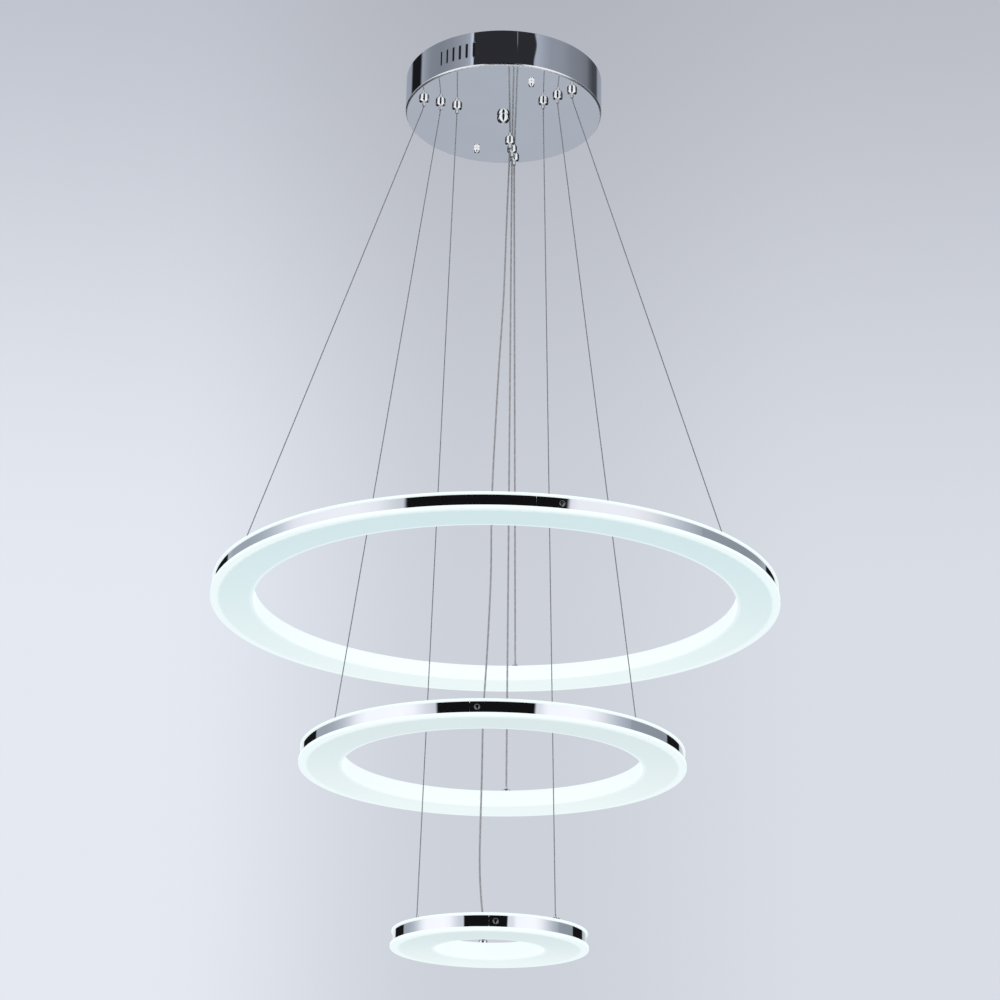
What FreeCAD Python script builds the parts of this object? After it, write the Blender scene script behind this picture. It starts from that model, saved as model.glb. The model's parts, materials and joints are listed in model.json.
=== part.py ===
# Three-ring LED chandelier, in millimetres.
#
# The origin is the centre of the ceiling face of the canopy. +Z points up into the ceiling, +X to the
# right and -Y to the front of the photograph. Everything hangs to -Z.
import FreeCAD, Part
import math
import os
import Sketcher
from FreeCAD import Placement, Rotation, Vector

os.makedirs("parts", exist_ok=True)
doc = FreeCAD.newDocument("ring_chandelier")

# ---------------------------------------------------------------- driving dimensions
SIZES = {
    # canopy: a spun cup, open to the ceiling
    "canopy_diameter": 224,
    "canopy_depth": 44,
    "canopy_sheet": 1.2,
    "canopy_lip_radius": 2.4,
    "vent_angle": 231.0,
    "vent_pitch_angle": 4.26,
    "vent_count": 6,
    "vent_length": 19,
    "vent_width": 3.0,
    "hole_clearance": 0.1,
    # crossbar on the ceiling, and what fixes the canopy to it
    "bar_angle": 112,
    "bar_length": 188,
    "bar_width": 24,
    "bar_thickness": 2,
    "bar_cable_hole": 10.5,
    "ceiling_hole": 5.5,
    "ceiling_hole_pitch": 110,
    "stud_pitch": 164,
    "stud_diameter": 4,
    "cap_nut_hex": 3.9,
    "cap_nut_height": 3.4,
    "cap_nut_thread_depth": 5.0,
    # cable grippers in the canopy's underside: three rows of three
    "gripper_angle": 82,
    "gripper_row_small": 57,
    "gripper_row_medium": 77,
    "gripper_row_large": 97,
    "gripper_radius": 5.75,
    "gripper_depth": 6.0,
    "gripper_round": 3.6,
    "shank_radius": 4.0,
    "shank_height": 12,
    "shank_nut_hex": 7.0,
    "shank_nut_height": 3.0,
    "chamber_radius": 2.75,
    "chamber_floor": 0.3,
    "chamber_ceiling": 4.0,
    "nozzle_radius": 1.9,
    "nozzle_fit": 0.05,
    "nozzle_reach": 10,
    "nozzle_round": 0.4,
    "collar_radius": 2.6,
    "collar_height": 1.5,
    "bore_clearance": 0.3,
    # ball knob at the canopy's centre
    "ball_radius": 7.5,
    "ball_centre_depth": 2.6,
    # steel wires and clear power cords
    "wire_radius": 0.6,
    "cord_radius": 1.1,
    "wire_free_start": 10.6,
    # LED driver and terminal block inside the canopy
    "driver_angle": 22,
    "driver_offset": 64,
    "driver_length": 104,
    "driver_width": 38,
    "driver_height": 26,
    "driver_round": 3,
    "ear_length": 9,
    "ear_thickness": 2,
    "ear_hole": 3.4,
    "terminal_angle": 247,
    "terminal_offset": 66,
    "terminal_length": 32,
    "terminal_width": 17,
    "terminal_height": 14,
    "terminal_pitch": 10,
    "terminal_bore": 4.2,
    # section shared by the three rings, upwards from the underside
    "ring_width": 45,
    "bottom_plate": 4.0,
    "band_height": 11.5,
    "top_plate": 2.5,
    "band_inset": 2.6,
    "band_sheet": 1.0,
    "seam_gap": 0.35,
    "inner_wall": 3.0,
    "strip_height": 8,
    "strip_thickness": 0.5,
    "splice_length": 36,
    "splice_height": 9,
    "splice_thickness": 1.2,
    "splice_hole": 2.5,
    "splice_joint_gap": 1.0,
    # wire-end fittings on the rings' top plates
    "fitting_radius": 4.75,
    "fitting_dome": 7.5,
    "fitting_round": 2.6,
    "fitting_tip_radius": 1.6,
    "fitting_height": 10,
    "fitting_shank_radius": 2.5,
    "fitting_shank": 7,
    "fitting_nut_hex": 4.6,
    "fitting_nut_height": 3,
}

# Each ring: outer diameter, depth of its underside below the ceiling, angle of the seam in its band,
# how far its screw lies from the seam along the band, and the angles of its three fittings. The first
# angle is the far one, which takes the clear power cord.
RINGS = {
    "large": {"diameter": 600, "drop": 640, "seam": 277.3, "screw": 25.0, "angles": (85, 199, 325)},
    "medium": {"diameter": 400, "drop": 814, "seam": 263.4, "screw": 7.3, "angles": (85, 206, 323)},
    "small": {"diameter": 200, "drop": 1000, "seam": 269.6, "screw": 6.5, "angles": (95, 200, 327)},
}
SIDES = ("far", "left", "right")
for ring_name, ring in RINGS.items():
    SIZES[ring_name + "_diameter"] = ring["diameter"]
    SIZES[ring_name + "_drop"] = ring["drop"]
    SIZES[ring_name + "_seam_angle"] = ring["seam"]
    SIZES[ring_name + "_screw_offset"] = ring["screw"]
    for side, angle in zip(SIDES, ring["angles"]):
        SIZES[ring_name + "_" + side + "_angle"] = angle

# The small ring's power cord is slack. These are the points of its route between its two ends:
# across, away from the front, and depth below the ceiling.
SLACK_ROUTE = [
    (7.4, 57.1, 84), (6.0, 58.6, 130), (5.0, 60.3, 184), (3.9, 61.9, 240), (1.2, 63.1, 296),
    (-1.4, 64.5, 351), (-3.3, 66.3, 406), (-5.2, 68.0, 461), (-6.0, 69.3, 516), (-5.0, 70.4, 571),
    (-6.5, 71.9, 626), (-8.5, 73.6, 680), (-11.3, 74.7, 734), (-11.0, 75.3, 789),
    (-11.6, 76.2, 843), (-12.1, 77.2, 893), (-9.9, 77.6, 930),
]
SLACK_LEAD = 17  # straight length at each end, where it runs in line with its fitting


def fill_sheet():
    """Write every driving dimension into the sheet as a named cell."""
    table = doc.addObject("Spreadsheet::Sheet", "Sizes")
    for row, (alias, number) in enumerate(SIZES.items(), start=1):
        table.set("A%d" % row, alias.replace("_", " "))
        table.set("B%d" % row, str(number))
        table.setAlias("B%d" % row, alias)
    doc.recompute()
    return table


sheet = fill_sheet()


def full(expression):
    """Spell out size names as cells of the sheet: {name} stands for Sizes.name."""
    return expression.replace("{", "Sizes.").replace("}", "")


def value(expression):
    """Work out a size expression as a plain number."""
    result = sheet.evalExpression(full(expression))
    return float(getattr(result, "Value", result))


# ---------------------------------------------------------------- modelling helpers
def bind(target, **properties):
    """Tie properties of an object to size expressions; a name's double underscore is a dot."""
    for name, expression in properties.items():
        target.setExpression(name.replace("__", "."), full(expression))


def place(target, across="0", away="0", up="0", turn=None):
    """Put an object at a place, and turn it about Z, by size expressions."""
    if turn:
        target.Placement = Placement(Vector(), Rotation(Vector(0, 0, 1), 1))
        bind(target, Placement__Rotation__Angle=turn)
    bind(target, Placement__Base__x=across, Placement__Base__y=away, Placement__Base__z=up)
    return target


def round_about(radius, angle):
    """Give the across and away expressions of a place on a circle about Z."""
    return "(%s) * cos(%s)" % (radius, angle), "(%s) * sin(%s)" % (radius, angle)


def new_body(label):
    body = doc.addObject("PartDesign::Body", label)
    body.Label = label
    return body


def new_sketch(body, plane):
    sketch = body.newObject("Sketcher::SketchObject", body.Name + "_sketch")
    origin_plane = next(item for item in body.Origin.OriginFeatures if item.Role == plane)
    sketch.AttachmentSupport = (origin_plane, [""])
    sketch.MapMode = "FlatFace"
    return sketch


def turn_sketch(sketch, angle):
    """Turn an upright sketch about Z by an angle expression."""
    sketch.AttachmentOffset = Placement(Vector(), Rotation(Vector(0, 1, 0), 1))
    bind(sketch, AttachmentOffset__Rotation__Angle=angle)


def constrain(sketch, kind, *arguments):
    """Add a size constraint whose value, the last argument, is a size expression."""
    number = sketch.addConstraint(Sketcher.Constraint(kind, *arguments[:-1], value(arguments[-1])))
    sketch.setExpression("Constraints[%d]" % number, full(arguments[-1]))


def add_outline(sketch, corners):
    """Draw a closed outline of straight edges; each corner is an across and an up expression."""
    points = [Vector(value(across), value(up), 0) for across, up in corners]
    first = sketch.GeometryCount
    count = len(points)
    for index, point in enumerate(points):
        sketch.addGeometry(Part.LineSegment(point, points[(index + 1) % count]))
    for index, (across, up) in enumerate(corners):
        edge = first + index
        before = first + (index - 1) % count
        sketch.addConstraint(Sketcher.Constraint("Coincident", before, 2, edge, 1))
        constrain(sketch, "DistanceX", -1, 1, edge, 1, across)
        constrain(sketch, "DistanceY", -1, 1, edge, 1, up)


def add_circle(sketch, radius, across="0", away="0"):
    """Draw a circle with its centre and radius held by size expressions."""
    centre = Vector(value(across), value(away), 0)
    circle = sketch.addGeometry(Part.Circle(centre, Vector(0, 0, 1), value(radius)))
    constrain(sketch, "Radius", circle, radius)
    constrain(sketch, "DistanceX", -1, 1, circle, 3, across)
    constrain(sketch, "DistanceY", -1, 1, circle, 3, away)


def add_upright_slot(sketch, length, width, middle):
    """Draw a slot with round ends on the sketch's upright axis."""
    radius = value(width) / 2
    reach = value(length) / 2 - radius
    level = value(middle)
    upper, lower = Vector(0, level + reach, 0), Vector(0, level - reach, 0)
    side = Vector(radius, 0, 0)
    ends = []
    for centre, start in ((upper, 0), (lower, math.pi)):
        circle = Part.Circle(centre, Vector(0, 0, 1), radius)
        ends.append(sketch.addGeometry(Part.ArcOfCircle(circle, start, start + math.pi)))
    top, bottom = ends
    left = sketch.addGeometry(Part.LineSegment(upper - side, lower - side))
    right = sketch.addGeometry(Part.LineSegment(lower + side, upper + side))
    for before, after in ((top, left), (left, bottom), (bottom, right), (right, top)):
        sketch.addConstraint(Sketcher.Constraint("Tangent", before, 2, after, 1))
    constrain(sketch, "Radius", top, "%s / 2" % width)
    for arc, sign in ((top, "+"), (bottom, "-")):
        constrain(sketch, "DistanceX", -1, 1, arc, 3, "0")
        level = "%s %s (%s - %s) / 2" % (middle, sign, length, width)
        constrain(sketch, "DistanceY", -1, 1, arc, 3, level)


def revolve(body, corners, angle="360"):
    """Turn an outline of radius and height expressions about Z."""
    sketch = new_sketch(body, "XZ_Plane")
    add_outline(sketch, corners)
    solid = body.newObject("PartDesign::Revolution", body.Name + "_turned")
    solid.Profile = sketch
    solid.ReferenceAxis = (sketch, ["V_Axis"])
    bind(solid, Angle=angle)
    body.Tip = solid
    return solid


def pad(body, sketch, height, downward=False):
    """Raise a solid from a sketch on the body's XY plane."""
    solid = body.newObject("PartDesign::Pad", body.Name + "_pad")
    solid.Profile = sketch
    solid.Reversed = downward
    bind(solid, Length=height)
    body.Tip = solid
    return solid


def cut_through(body, sketch, towards="back"):
    """Cut a sketch right through: to its back, its front or both, and check that it took something."""
    before = body.Tip
    hole = body.newObject("PartDesign::Pocket", body.Name + "_cut")
    hole.Profile = sketch
    hole.Type = "ThroughAll"
    hole.SideType = "Symmetric" if towards == "both" else "One side"
    hole.Reversed = towards == "front"
    body.Tip = hole
    doc.recompute()
    if hole.Shape.Volume > before.Shape.Volume - 1e-3:
        raise RuntimeError(body.Label + ": a hole cuts nothing")
    return hole


def circles_at(shape, radius, height):
    """Name the round edges of a turned shape that have this radius and height."""
    names = []
    for number, edge in enumerate(shape.Edges, start=1):
        is_circle = isinstance(edge.Curve, Part.Circle) and abs(edge.Curve.Radius - radius) < 1e-3
        if is_circle and abs(edge.Curve.Center.z - height) < 1e-3:
            names.append("Edge%d" % number)
    return names


def upright_edges(shape):
    """Name the straight edges of a shape that run along Z."""
    return [
        "Edge%d" % number
        for number, edge in enumerate(shape.Edges, start=1)
        if isinstance(edge.Curve, Part.Line) and edge.BoundBox.ZLength > 0.99 * edge.Length
    ]


def round_edges(body, names, radius):
    """Round some edges of the body's last feature."""
    if not names:
        raise RuntimeError(body.Label + ": no edge to round")
    base = body.Tip
    rounding = body.newObject("PartDesign::Fillet", body.Name + "_round")
    rounding.Base = (base, names)
    bind(rounding, Radius=radius)
    body.Tip = rounding
    doc.recompute()
    return rounding


def primitive(kind, label, **sizes):
    """Make a Part primitive whose sizes are expressions."""
    solid = doc.addObject(kind, label)
    bind(solid, **sizes)
    return solid


def fused(label, members):
    joined = doc.addObject("Part::MultiFuse", label)
    joined.Shapes = members
    return joined


def cut(label, base, tool):
    result = doc.addObject("Part::Cut", label)
    result.Base, result.Tool = base, tool
    return result


def group(label, members):
    """Gather identical pieces, each a solid of its own, under one name."""
    together = doc.addObject("Part::Compound", label)
    together.Links = members
    return together


def hex_nut(label, corner_radius, bore_radius, height):
    """Make a hexagonal nut that stands on Z = 0."""
    blank = primitive("Part::Prism", label + "_blank", Circumradius=corner_radius, Height=height)
    blank.Polygon = 6
    bore = primitive("Part::Cylinder", label + "_bore", Radius=bore_radius, Height=height)
    return cut(label, blank, bore)


# ---------------------------------------------------------------- places on the object
UNDERSIDE = "-{canopy_depth}"
FLOOR = "-{canopy_depth} + {canopy_sheet}"
SIDE_TURN = {"far": "0", "left": "120", "right": "240"}


def gripper_place(ring_name, side):
    """Where a gripper sits in the canopy: one row of three per direction."""
    angle = "{gripper_angle} + " + SIDE_TURN[side]
    return round_about("{gripper_row_%s}" % ring_name, angle)


def fitting_place(ring_name, side):
    """Where a wire ends on its ring: in the middle of the ring's width."""
    radius = "{%s_diameter} / 2 - {ring_width} / 2" % ring_name
    return round_about(radius, "{%s_%s_angle}" % (ring_name, side))


def stud_place(sign):
    return round_about("%s{stud_pitch} / 2" % sign, "{bar_angle}")


# ---------------------------------------------------------------- canopy and what it holds
def make_canopy():
    """A spun cup with a rounded lip, its vent slots, and the holes in its underside."""
    body = new_body("canopy")
    radius = "{canopy_diameter} / 2"
    inner = radius + " - {canopy_sheet}"
    revolve(body, [
        ("0", UNDERSIDE), (radius, UNDERSIDE), (radius, "0"), (inner, "0"), (inner, FLOOR), ("0", FLOOR),
    ])
    doc.recompute()
    round_edges(body, circles_at(body.Shape, value(radius), value(UNDERSIDE)), "{canopy_lip_radius}")
    round_edges(
        body, circles_at(body.Shape, value(inner), value(FLOOR)), "{canopy_lip_radius} - {canopy_sheet}"
    )

    vents = new_sketch(body, "XZ_Plane")
    turn_sketch(vents, "{vent_angle} - 270")
    add_upright_slot(vents, "{vent_length}", "{vent_width}", "-{canopy_depth} / 2")
    slot = cut_through(body, vents, "both")
    row = body.newObject("PartDesign::PolarPattern", "vent_row")
    row.Originals = [slot]
    row.Axis = (next(item for item in body.Origin.OriginFeatures if item.Role == "Z_Axis"), [""])
    bind(row, Angle="{vent_pitch_angle} * ({vent_count} - 1)", Occurrences="{vent_count}")
    body.Tip = row

    holes = new_sketch(body, "XY_Plane")
    add_circle(holes, "{shank_radius} + {hole_clearance}")
    for ring_name in RINGS:
        for side in SIDES:
            add_circle(holes, "{shank_radius} + {hole_clearance}", *gripper_place(ring_name, side))
    for sign in ("", "-"):
        add_circle(holes, "{stud_diameter} / 2 + {hole_clearance}", *stud_place(sign))
    cut_through(body, holes)
    return body


def make_crossbar():
    """The steel strip that is screwed to the ceiling, with its five holes."""
    body = new_body("crossbar")
    outline = new_sketch(body, "XY_Plane")
    half_length, half_width = "{bar_length} / 2", "{bar_width} / 2"
    add_outline(outline, [
        ("-" + half_length, "-" + half_width), (half_length, "-" + half_width),
        (half_length, half_width), ("-" + half_length, half_width),
    ])
    pad(body, outline, "{bar_thickness}", downward=True)
    doc.recompute()
    round_edges(body, upright_edges(body.Shape), "{bar_width} / 3")
    holes = new_sketch(body, "XY_Plane")
    add_circle(holes, "{bar_cable_hole} / 2")
    for sign in ("", "-"):
        add_circle(holes, "{ceiling_hole} / 2", sign + "{ceiling_hole_pitch} / 2")
        add_circle(holes, "{stud_diameter} / 2 + {nozzle_fit}", sign + "{stud_pitch} / 2")
    cut_through(body, holes)
    return place(body, turn="{bar_angle}")


def make_bar_studs():
    """Two threaded studs from the crossbar down through the canopy."""
    studs = []
    for name, sign in (("stud_a", ""), ("stud_b", "-")):
        stud = primitive(
            "Part::Cylinder", name, Radius="{stud_diameter} / 2",
            Height="{canopy_depth} + {cap_nut_thread_depth}",
        )
        studs.append(place(stud, *stud_place(sign), up="-{canopy_depth} - {cap_nut_thread_depth}"))
    return group("bar_studs", studs)


def make_cap_nuts():
    """The two domed nuts that hold the canopy up against the ceiling."""
    nuts = []
    for name, sign in (("cap_nut_a", ""), ("cap_nut_b", "-")):
        hexagon = primitive(
            "Part::Prism", name + "_hexagon", Circumradius="{cap_nut_hex}", Height="{cap_nut_height}"
        )
        hexagon.Polygon = 6
        place(hexagon, up="-{cap_nut_height}")
        dome = primitive("Part::Sphere", name + "_dome", Radius="{cap_nut_hex} * cos(30)", Angle2="0")
        place(dome, up="-{cap_nut_height}")
        thread = primitive(
            "Part::Cylinder", name + "_thread",
            Radius="{stud_diameter} / 2 + {nozzle_fit}", Height="{cap_nut_thread_depth}",
        )
        place(thread, up="-{cap_nut_thread_depth}")
        nut = cut(name, fused(name + "_blank", [hexagon, dome]), thread)
        nuts.append(place(nut, *stud_place(sign), up=UNDERSIDE))
    return group("cap_nuts", nuts)


def make_centre_ball():
    """The ball knob at the canopy's centre: a ball cut flat where it meets the sheet, and its shank."""
    ball = primitive(
        "Part::Sphere", "ball", Radius="{ball_radius}", Angle2="asin({ball_centre_depth} / {ball_radius})"
    )
    place(ball, up="-{ball_centre_depth}")
    shank = primitive("Part::Cylinder", "ball_shank", Radius="{shank_radius}", Height="{shank_height}")
    return place(fused("centre_ball", [ball, shank]), up=UNDERSIDE)


def make_gripper(ring_name, side):
    """A cable gripper: domed head under the sheet, shank above it, and the nozzle's chamber inside."""
    body = new_body("gripper_%s_%s" % (ring_name, side))
    bore = "{nozzle_radius} + {nozzle_fit}"
    revolve(body, [
        (bore, "-{gripper_depth}"), ("{gripper_radius}", "-{gripper_depth}"), ("{gripper_radius}", "0"),
        ("{shank_radius}", "0"), ("{shank_radius}", "{shank_height}"), ("0", "{shank_height}"),
        ("0", "{chamber_ceiling}"), ("{chamber_radius}", "{chamber_ceiling}"),
        ("{chamber_radius}", "{chamber_floor}"), (bore, "{chamber_floor}"),
    ])
    doc.recompute()
    rim = circles_at(body.Shape, value("{gripper_radius}"), value("-{gripper_depth}"))
    round_edges(body, rim, "{gripper_round}")
    return place(body, *gripper_place(ring_name, side), up=UNDERSIDE)


def make_nozzle(ring_name, side):
    """The release nozzle: a tube round the wire, with a collar that keeps it in the gripper."""
    body = new_body("nozzle_%s_%s" % (ring_name, side))
    line_radius = "{cord_radius}" if side == "far" else "{wire_radius}"
    bore = line_radius + " + {bore_clearance}"
    collar = "{chamber_floor} + {nozzle_fit}"
    revolve(body, [
        (bore, "-{nozzle_reach}"), ("{nozzle_radius}", "-{nozzle_reach}"), ("{nozzle_radius}", collar),
        ("{collar_radius}", collar), ("{collar_radius}", collar + " + {collar_height}"),
        (bore, collar + " + {collar_height}"),
    ])
    doc.recompute()
    rim = circles_at(body.Shape, value("{nozzle_radius}"), value("-{nozzle_reach}"))
    round_edges(body, rim, "{nozzle_round}")
    return place(body, *gripper_place(ring_name, side), up=UNDERSIDE)


def make_shank_nuts():
    """The ten nuts inside the canopy: one on each gripper and one on the ball knob."""
    places = [("centre", "0", "0")]
    places += [
        ("%s_%s" % (ring_name, side), *gripper_place(ring_name, side))
        for ring_name in RINGS for side in SIDES
    ]
    nuts = []
    for name, across, away in places:
        nut = hex_nut(
            "shank_nut_" + name, "{shank_nut_hex}", "{shank_radius} + {nozzle_fit}", "{shank_nut_height}"
        )
        nuts.append(place(nut, across, away, FLOOR))
    return group("shank_nuts", nuts)


def make_driver():
    """The LED driver: a plain closed case with a mounting ear at each end."""
    body = new_body("led_driver")
    half_length, half_width = "{driver_length} / 2", "{driver_width} / 2"
    case = new_sketch(body, "XY_Plane")
    add_outline(case, [
        ("-" + half_length, "-" + half_width), (half_length, "-" + half_width),
        (half_length, half_width), ("-" + half_length, half_width),
    ])
    pad(body, case, "{driver_height}")
    doc.recompute()
    round_edges(body, upright_edges(body.Shape), "{driver_round}")
    ears = new_sketch(body, "XY_Plane")
    reach, ear_half = half_length + " + {ear_length}", "{driver_width} / 5"
    add_outline(ears, [
        ("-(" + reach + ")", "-" + ear_half), (reach, "-" + ear_half),
        (reach, ear_half), ("-(" + reach + ")", ear_half),
    ])
    pad(body, ears, "{ear_thickness}")
    screw_holes = new_sketch(body, "XY_Plane")
    middle = half_length + " + {ear_length} / 2"
    for across in (middle, "-(" + middle + ")"):
        add_circle(screw_holes, "{ear_hole} / 2", across)
    cut_through(body, screw_holes, "front")
    return place(
        body, *round_about("{driver_offset}", "{driver_angle}"), up=FLOOR, turn="{driver_angle} + 90"
    )


def make_terminal_block():
    """The mains terminal block: three ways, each with a wire bore and a screw well."""
    body = new_body("terminal_block")
    half_length, half_width = "{terminal_length} / 2", "{terminal_width} / 2"
    case = new_sketch(body, "XY_Plane")
    add_outline(case, [
        ("-" + half_length, "-" + half_width), (half_length, "-" + half_width),
        (half_length, half_width), ("-" + half_length, half_width),
    ])
    pad(body, case, "{terminal_height}")
    doc.recompute()
    bores = new_sketch(body, "XZ_Plane")
    wells = new_sketch(body, "XY_Plane")
    for way in ("-{terminal_pitch}", "0", "{terminal_pitch}"):
        add_circle(bores, "{terminal_bore} / 2", way, "{terminal_height} / 3")
        add_circle(wells, "{terminal_bore} / 2", way)
    cut_through(body, bores, "both")
    bind(wells, AttachmentOffset__Base__z="{terminal_height} / 3")
    cut_through(body, wells, "front")
    return place(
        body, *round_about("{terminal_offset}", "{terminal_angle}"), up=FLOOR, turn="{terminal_angle} + 90"
    )


# ---------------------------------------------------------------- rings
def ring_levels(ring_name):
    """Heights of a ring's section: underside, lower and upper edge of the band, and top face."""
    underside = "-{%s_drop}" % ring_name
    band_low = underside + " + {bottom_plate}"
    band_high = band_low + " + {band_height}"
    return underside, band_low, band_high, band_high + " + {top_plate}"


def section(inner, outer, low, high):
    """A rectangular section between two radii and two heights."""
    return [(inner, low), (outer, low), (outer, high), (inner, high)]


def arc_angle(length, radius):
    """The angle, in degrees, that a length along a circle takes up."""
    return "(%s) / (%s) * 180 / pi" % (length, radius)


def radial_hole(body, diameter, height, angle):
    """Drill from the axis outwards through one wall, at an angle about Z."""
    sketch = new_sketch(body, "YZ_Plane")
    turn_sketch(sketch, angle)
    add_circle(sketch, diameter + " / 2", "0", height)
    return cut_through(body, sketch, "front")


def make_plates(ring_name):
    """The two frosted plates and the frosted wall between them at the ring's hole."""
    underside, band_low, band_high, top = ring_levels(ring_name)
    outer = "{%s_diameter} / 2" % ring_name
    inner = outer + " - {ring_width}"
    bottom = new_body(ring_name + "_bottom_plate")
    revolve(bottom, section(inner, outer, underside, band_low))
    wall = new_body(ring_name + "_inner_wall")
    revolve(wall, section(inner, inner + " + {inner_wall}", band_low, band_high))
    cover = new_body(ring_name + "_top_plate")
    revolve(cover, section(inner, outer, band_high, top))
    holes = new_sketch(cover, "XY_Plane")
    for side in SIDES:
        add_circle(holes, "{fitting_shank_radius} + {hole_clearance}", *fitting_place(ring_name, side))
    doc.recompute()
    cut_through(cover, holes, "both")
    return [bottom, wall, cover]


def make_band(ring_name):
    """The chrome band, a strip bent round to a seam, with its splice plate and LED strip behind it."""
    _, band_low, band_high, _ = ring_levels(ring_name)
    outer = "{%s_diameter} / 2 - {band_inset}" % ring_name
    inside = outer + " - {band_sheet}"
    middle = band_low + " + {band_height} / 2"
    seam = "{%s_seam_angle}" % ring_name
    screw = arc_angle("{%s_screw_offset}" % ring_name, outer)

    gap = arc_angle("{seam_gap}", outer)
    band = new_body(ring_name + "_band")
    revolve(band, section(inside, outer, band_low, band_high), "360 - " + gap)
    doc.recompute()
    radial_hole(band, "{splice_hole}", middle, "%s - %s / 2" % (screw, gap))
    place(band, turn=seam + " + %s / 2" % gap)

    lap = arc_angle("{splice_length} / 3", inside)
    reach = screw + " + " + arc_angle("{splice_length} / 6", inside)
    half_splice = "{splice_height} / 2"
    splice = new_body(ring_name + "_splice_plate")
    revolve(splice, section(
        inside + " - {splice_thickness}", inside, middle + " - " + half_splice, middle + " + " + half_splice,
    ), "%s + %s" % (lap, reach))
    doc.recompute()
    radial_hole(splice, "{splice_hole}", middle, "%s + %s" % (lap, screw))
    place(splice, turn="%s - %s" % (seam, lap))

    clear = arc_angle("{splice_joint_gap}", inside)
    half_strip = "{strip_height} / 2"
    strip = new_body(ring_name + "_led_strip")
    revolve(strip, section(
        inside + " - {strip_thickness}", inside, middle + " - " + half_strip, middle + " + " + half_strip,
    ), "360 - (%s) - (%s) - 2 * %s" % (lap, reach, clear))
    place(strip, turn="%s + %s + %s" % (seam, reach, clear))
    return [band, splice, strip]


def make_fittings(ring_name):
    """The three wire-end fittings on a ring and the nuts under its top plate."""
    top = ring_levels(ring_name)[3]
    fittings, nuts = [], []
    for side in SIDES:
        spot = fitting_place(ring_name, side)
        body = new_body("fitting_%s_%s" % (ring_name, side))
        revolve(body, [
            ("0", "-{fitting_shank}"), ("{fitting_shank_radius}", "-{fitting_shank}"),
            ("{fitting_shank_radius}", "0"), ("{fitting_radius}", "0"),
            ("{fitting_radius}", "{fitting_dome}"), ("{fitting_tip_radius}", "{fitting_dome}"),
            ("{fitting_tip_radius}", "{fitting_height}"), ("0", "{fitting_height}"),
        ])
        doc.recompute()
        rim = circles_at(body.Shape, value("{fitting_radius}"), value("{fitting_dome}"))
        round_edges(body, rim, "{fitting_round}")
        fittings.append(place(body, *spot, up=top))
        nut = hex_nut(
            "fitting_nut_%s_%s" % (ring_name, side), "{fitting_nut_hex}",
            "{fitting_shank_radius} + {nozzle_fit}", "{fitting_nut_height}",
        )
        nuts.append(place(nut, *spot, up=top + " - {top_plate} - {fitting_nut_height}"))
    return [group(ring_name + "_fittings", fittings), group(ring_name + "_fitting_nuts", nuts)]


# ---------------------------------------------------------------- wires and cords
def line_ends(ring_name, side):
    """The mouth of a gripper's nozzle and the tip of the fitting below it."""
    mouth = (*gripper_place(ring_name, side), "-{canopy_depth} - {wire_free_start}")
    tip = (*fitting_place(ring_name, side), ring_levels(ring_name)[3] + " + {fitting_height}")
    return mouth, tip


def inside_gripper(label, radius, mouth):
    """The stretch of a line that stands upright inside its gripper."""
    stretch = primitive(
        "Part::Cylinder", label + "_inside", Radius=radius, Height="{wire_free_start} + {chamber_ceiling}"
    )
    return place(stretch, *mouth)


def make_taut_line(ring_name, side):
    """A line pulled straight by its ring: upright in the gripper, then one straight run."""
    is_cord = side == "far"
    label = "%s_power_cord" % ring_name if is_cord else "%s_wire_%s" % (ring_name, side)
    radius = "{cord_radius}" if is_cord else "{wire_radius}"
    mouth, tip = line_ends(ring_name, side)
    start = place(primitive("Part::Circle", label + "_start", Radius=radius), *mouth)
    run = doc.addObject("Part::Extrusion", label + "_run")
    run.Base = start
    run.DirMode = "Custom"
    run.Solid = True
    across, away, up = ("(%s) - (%s)" % (end, begin) for begin, end in zip(mouth, tip))
    bind(run, Dir__x=across, Dir__y=away, Dir__z=up)
    return fused(label, [inside_gripper(label, radius, mouth), run])


def arc_at(corner, before, after):
    """The arc that rounds a corner of a route as widely as its two runs allow."""
    into, out = (corner - before).normalize(), (after - corner).normalize()
    reach = 0.45 * min((corner - before).Length, (after - corner).Length)
    turn = into.getAngle(out)
    start, end = corner - into * reach, corner + out * reach
    radius = reach / math.tan(turn / 2)
    to_centre = (out - into).normalize()
    middle = corner + to_centre * (radius / math.cos(turn / 2) - radius)
    return Part.Arc(start, middle, end).toShape(), start, end, radius


def rounded_route(points):
    """Join straight runs by tangent arcs, one at every point between the ends."""
    edges, radii = [], []
    reached = points[0]
    for before, corner, after in zip(points, points[1:], points[2:]):
        arc, start, end, radius = arc_at(corner, before, after)
        edges += [Part.makeLine(reached, start), arc]
        radii.append(radius)
        reached = end
    edges.append(Part.makeLine(reached, points[-1]))
    return Part.Wire(edges), radii


def make_slack_cord():
    """The small ring's power cord, which is a little longer than the way down, so it wanders."""
    mouth, tip = (Vector(*(value(part) for part in end)) for end in line_ends("small", "far"))
    inside = value("{wire_free_start} + {chamber_ceiling}")
    points = [mouth + Vector(0, 0, inside), mouth + Vector(0, 0, inside - SLACK_LEAD)]
    points += [Vector(across, away, -depth) for across, away, depth in SLACK_ROUTE]
    points += [tip + Vector(0, 0, SLACK_LEAD), tip]
    route, radii = rounded_route(points)
    radius = value("{cord_radius}")
    ring = Part.Wire(Part.makeCircle(radius, points[0], points[1] - points[0]))
    tube = route.makePipeShell([ring], True, False)
    expected = math.pi * radius ** 2 * route.Length
    if abs(tube.Volume / expected - 1) > 0.01:
        raise RuntimeError("the slack cord's volume is not its section times its length")
    print("small_power_cord: length %.1f, smallest bend %.0f" % (route.Length, min(radii)))
    cord = doc.addObject("Part::Feature", "small_power_cord")
    cord.Shape = tube
    return cord


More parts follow.
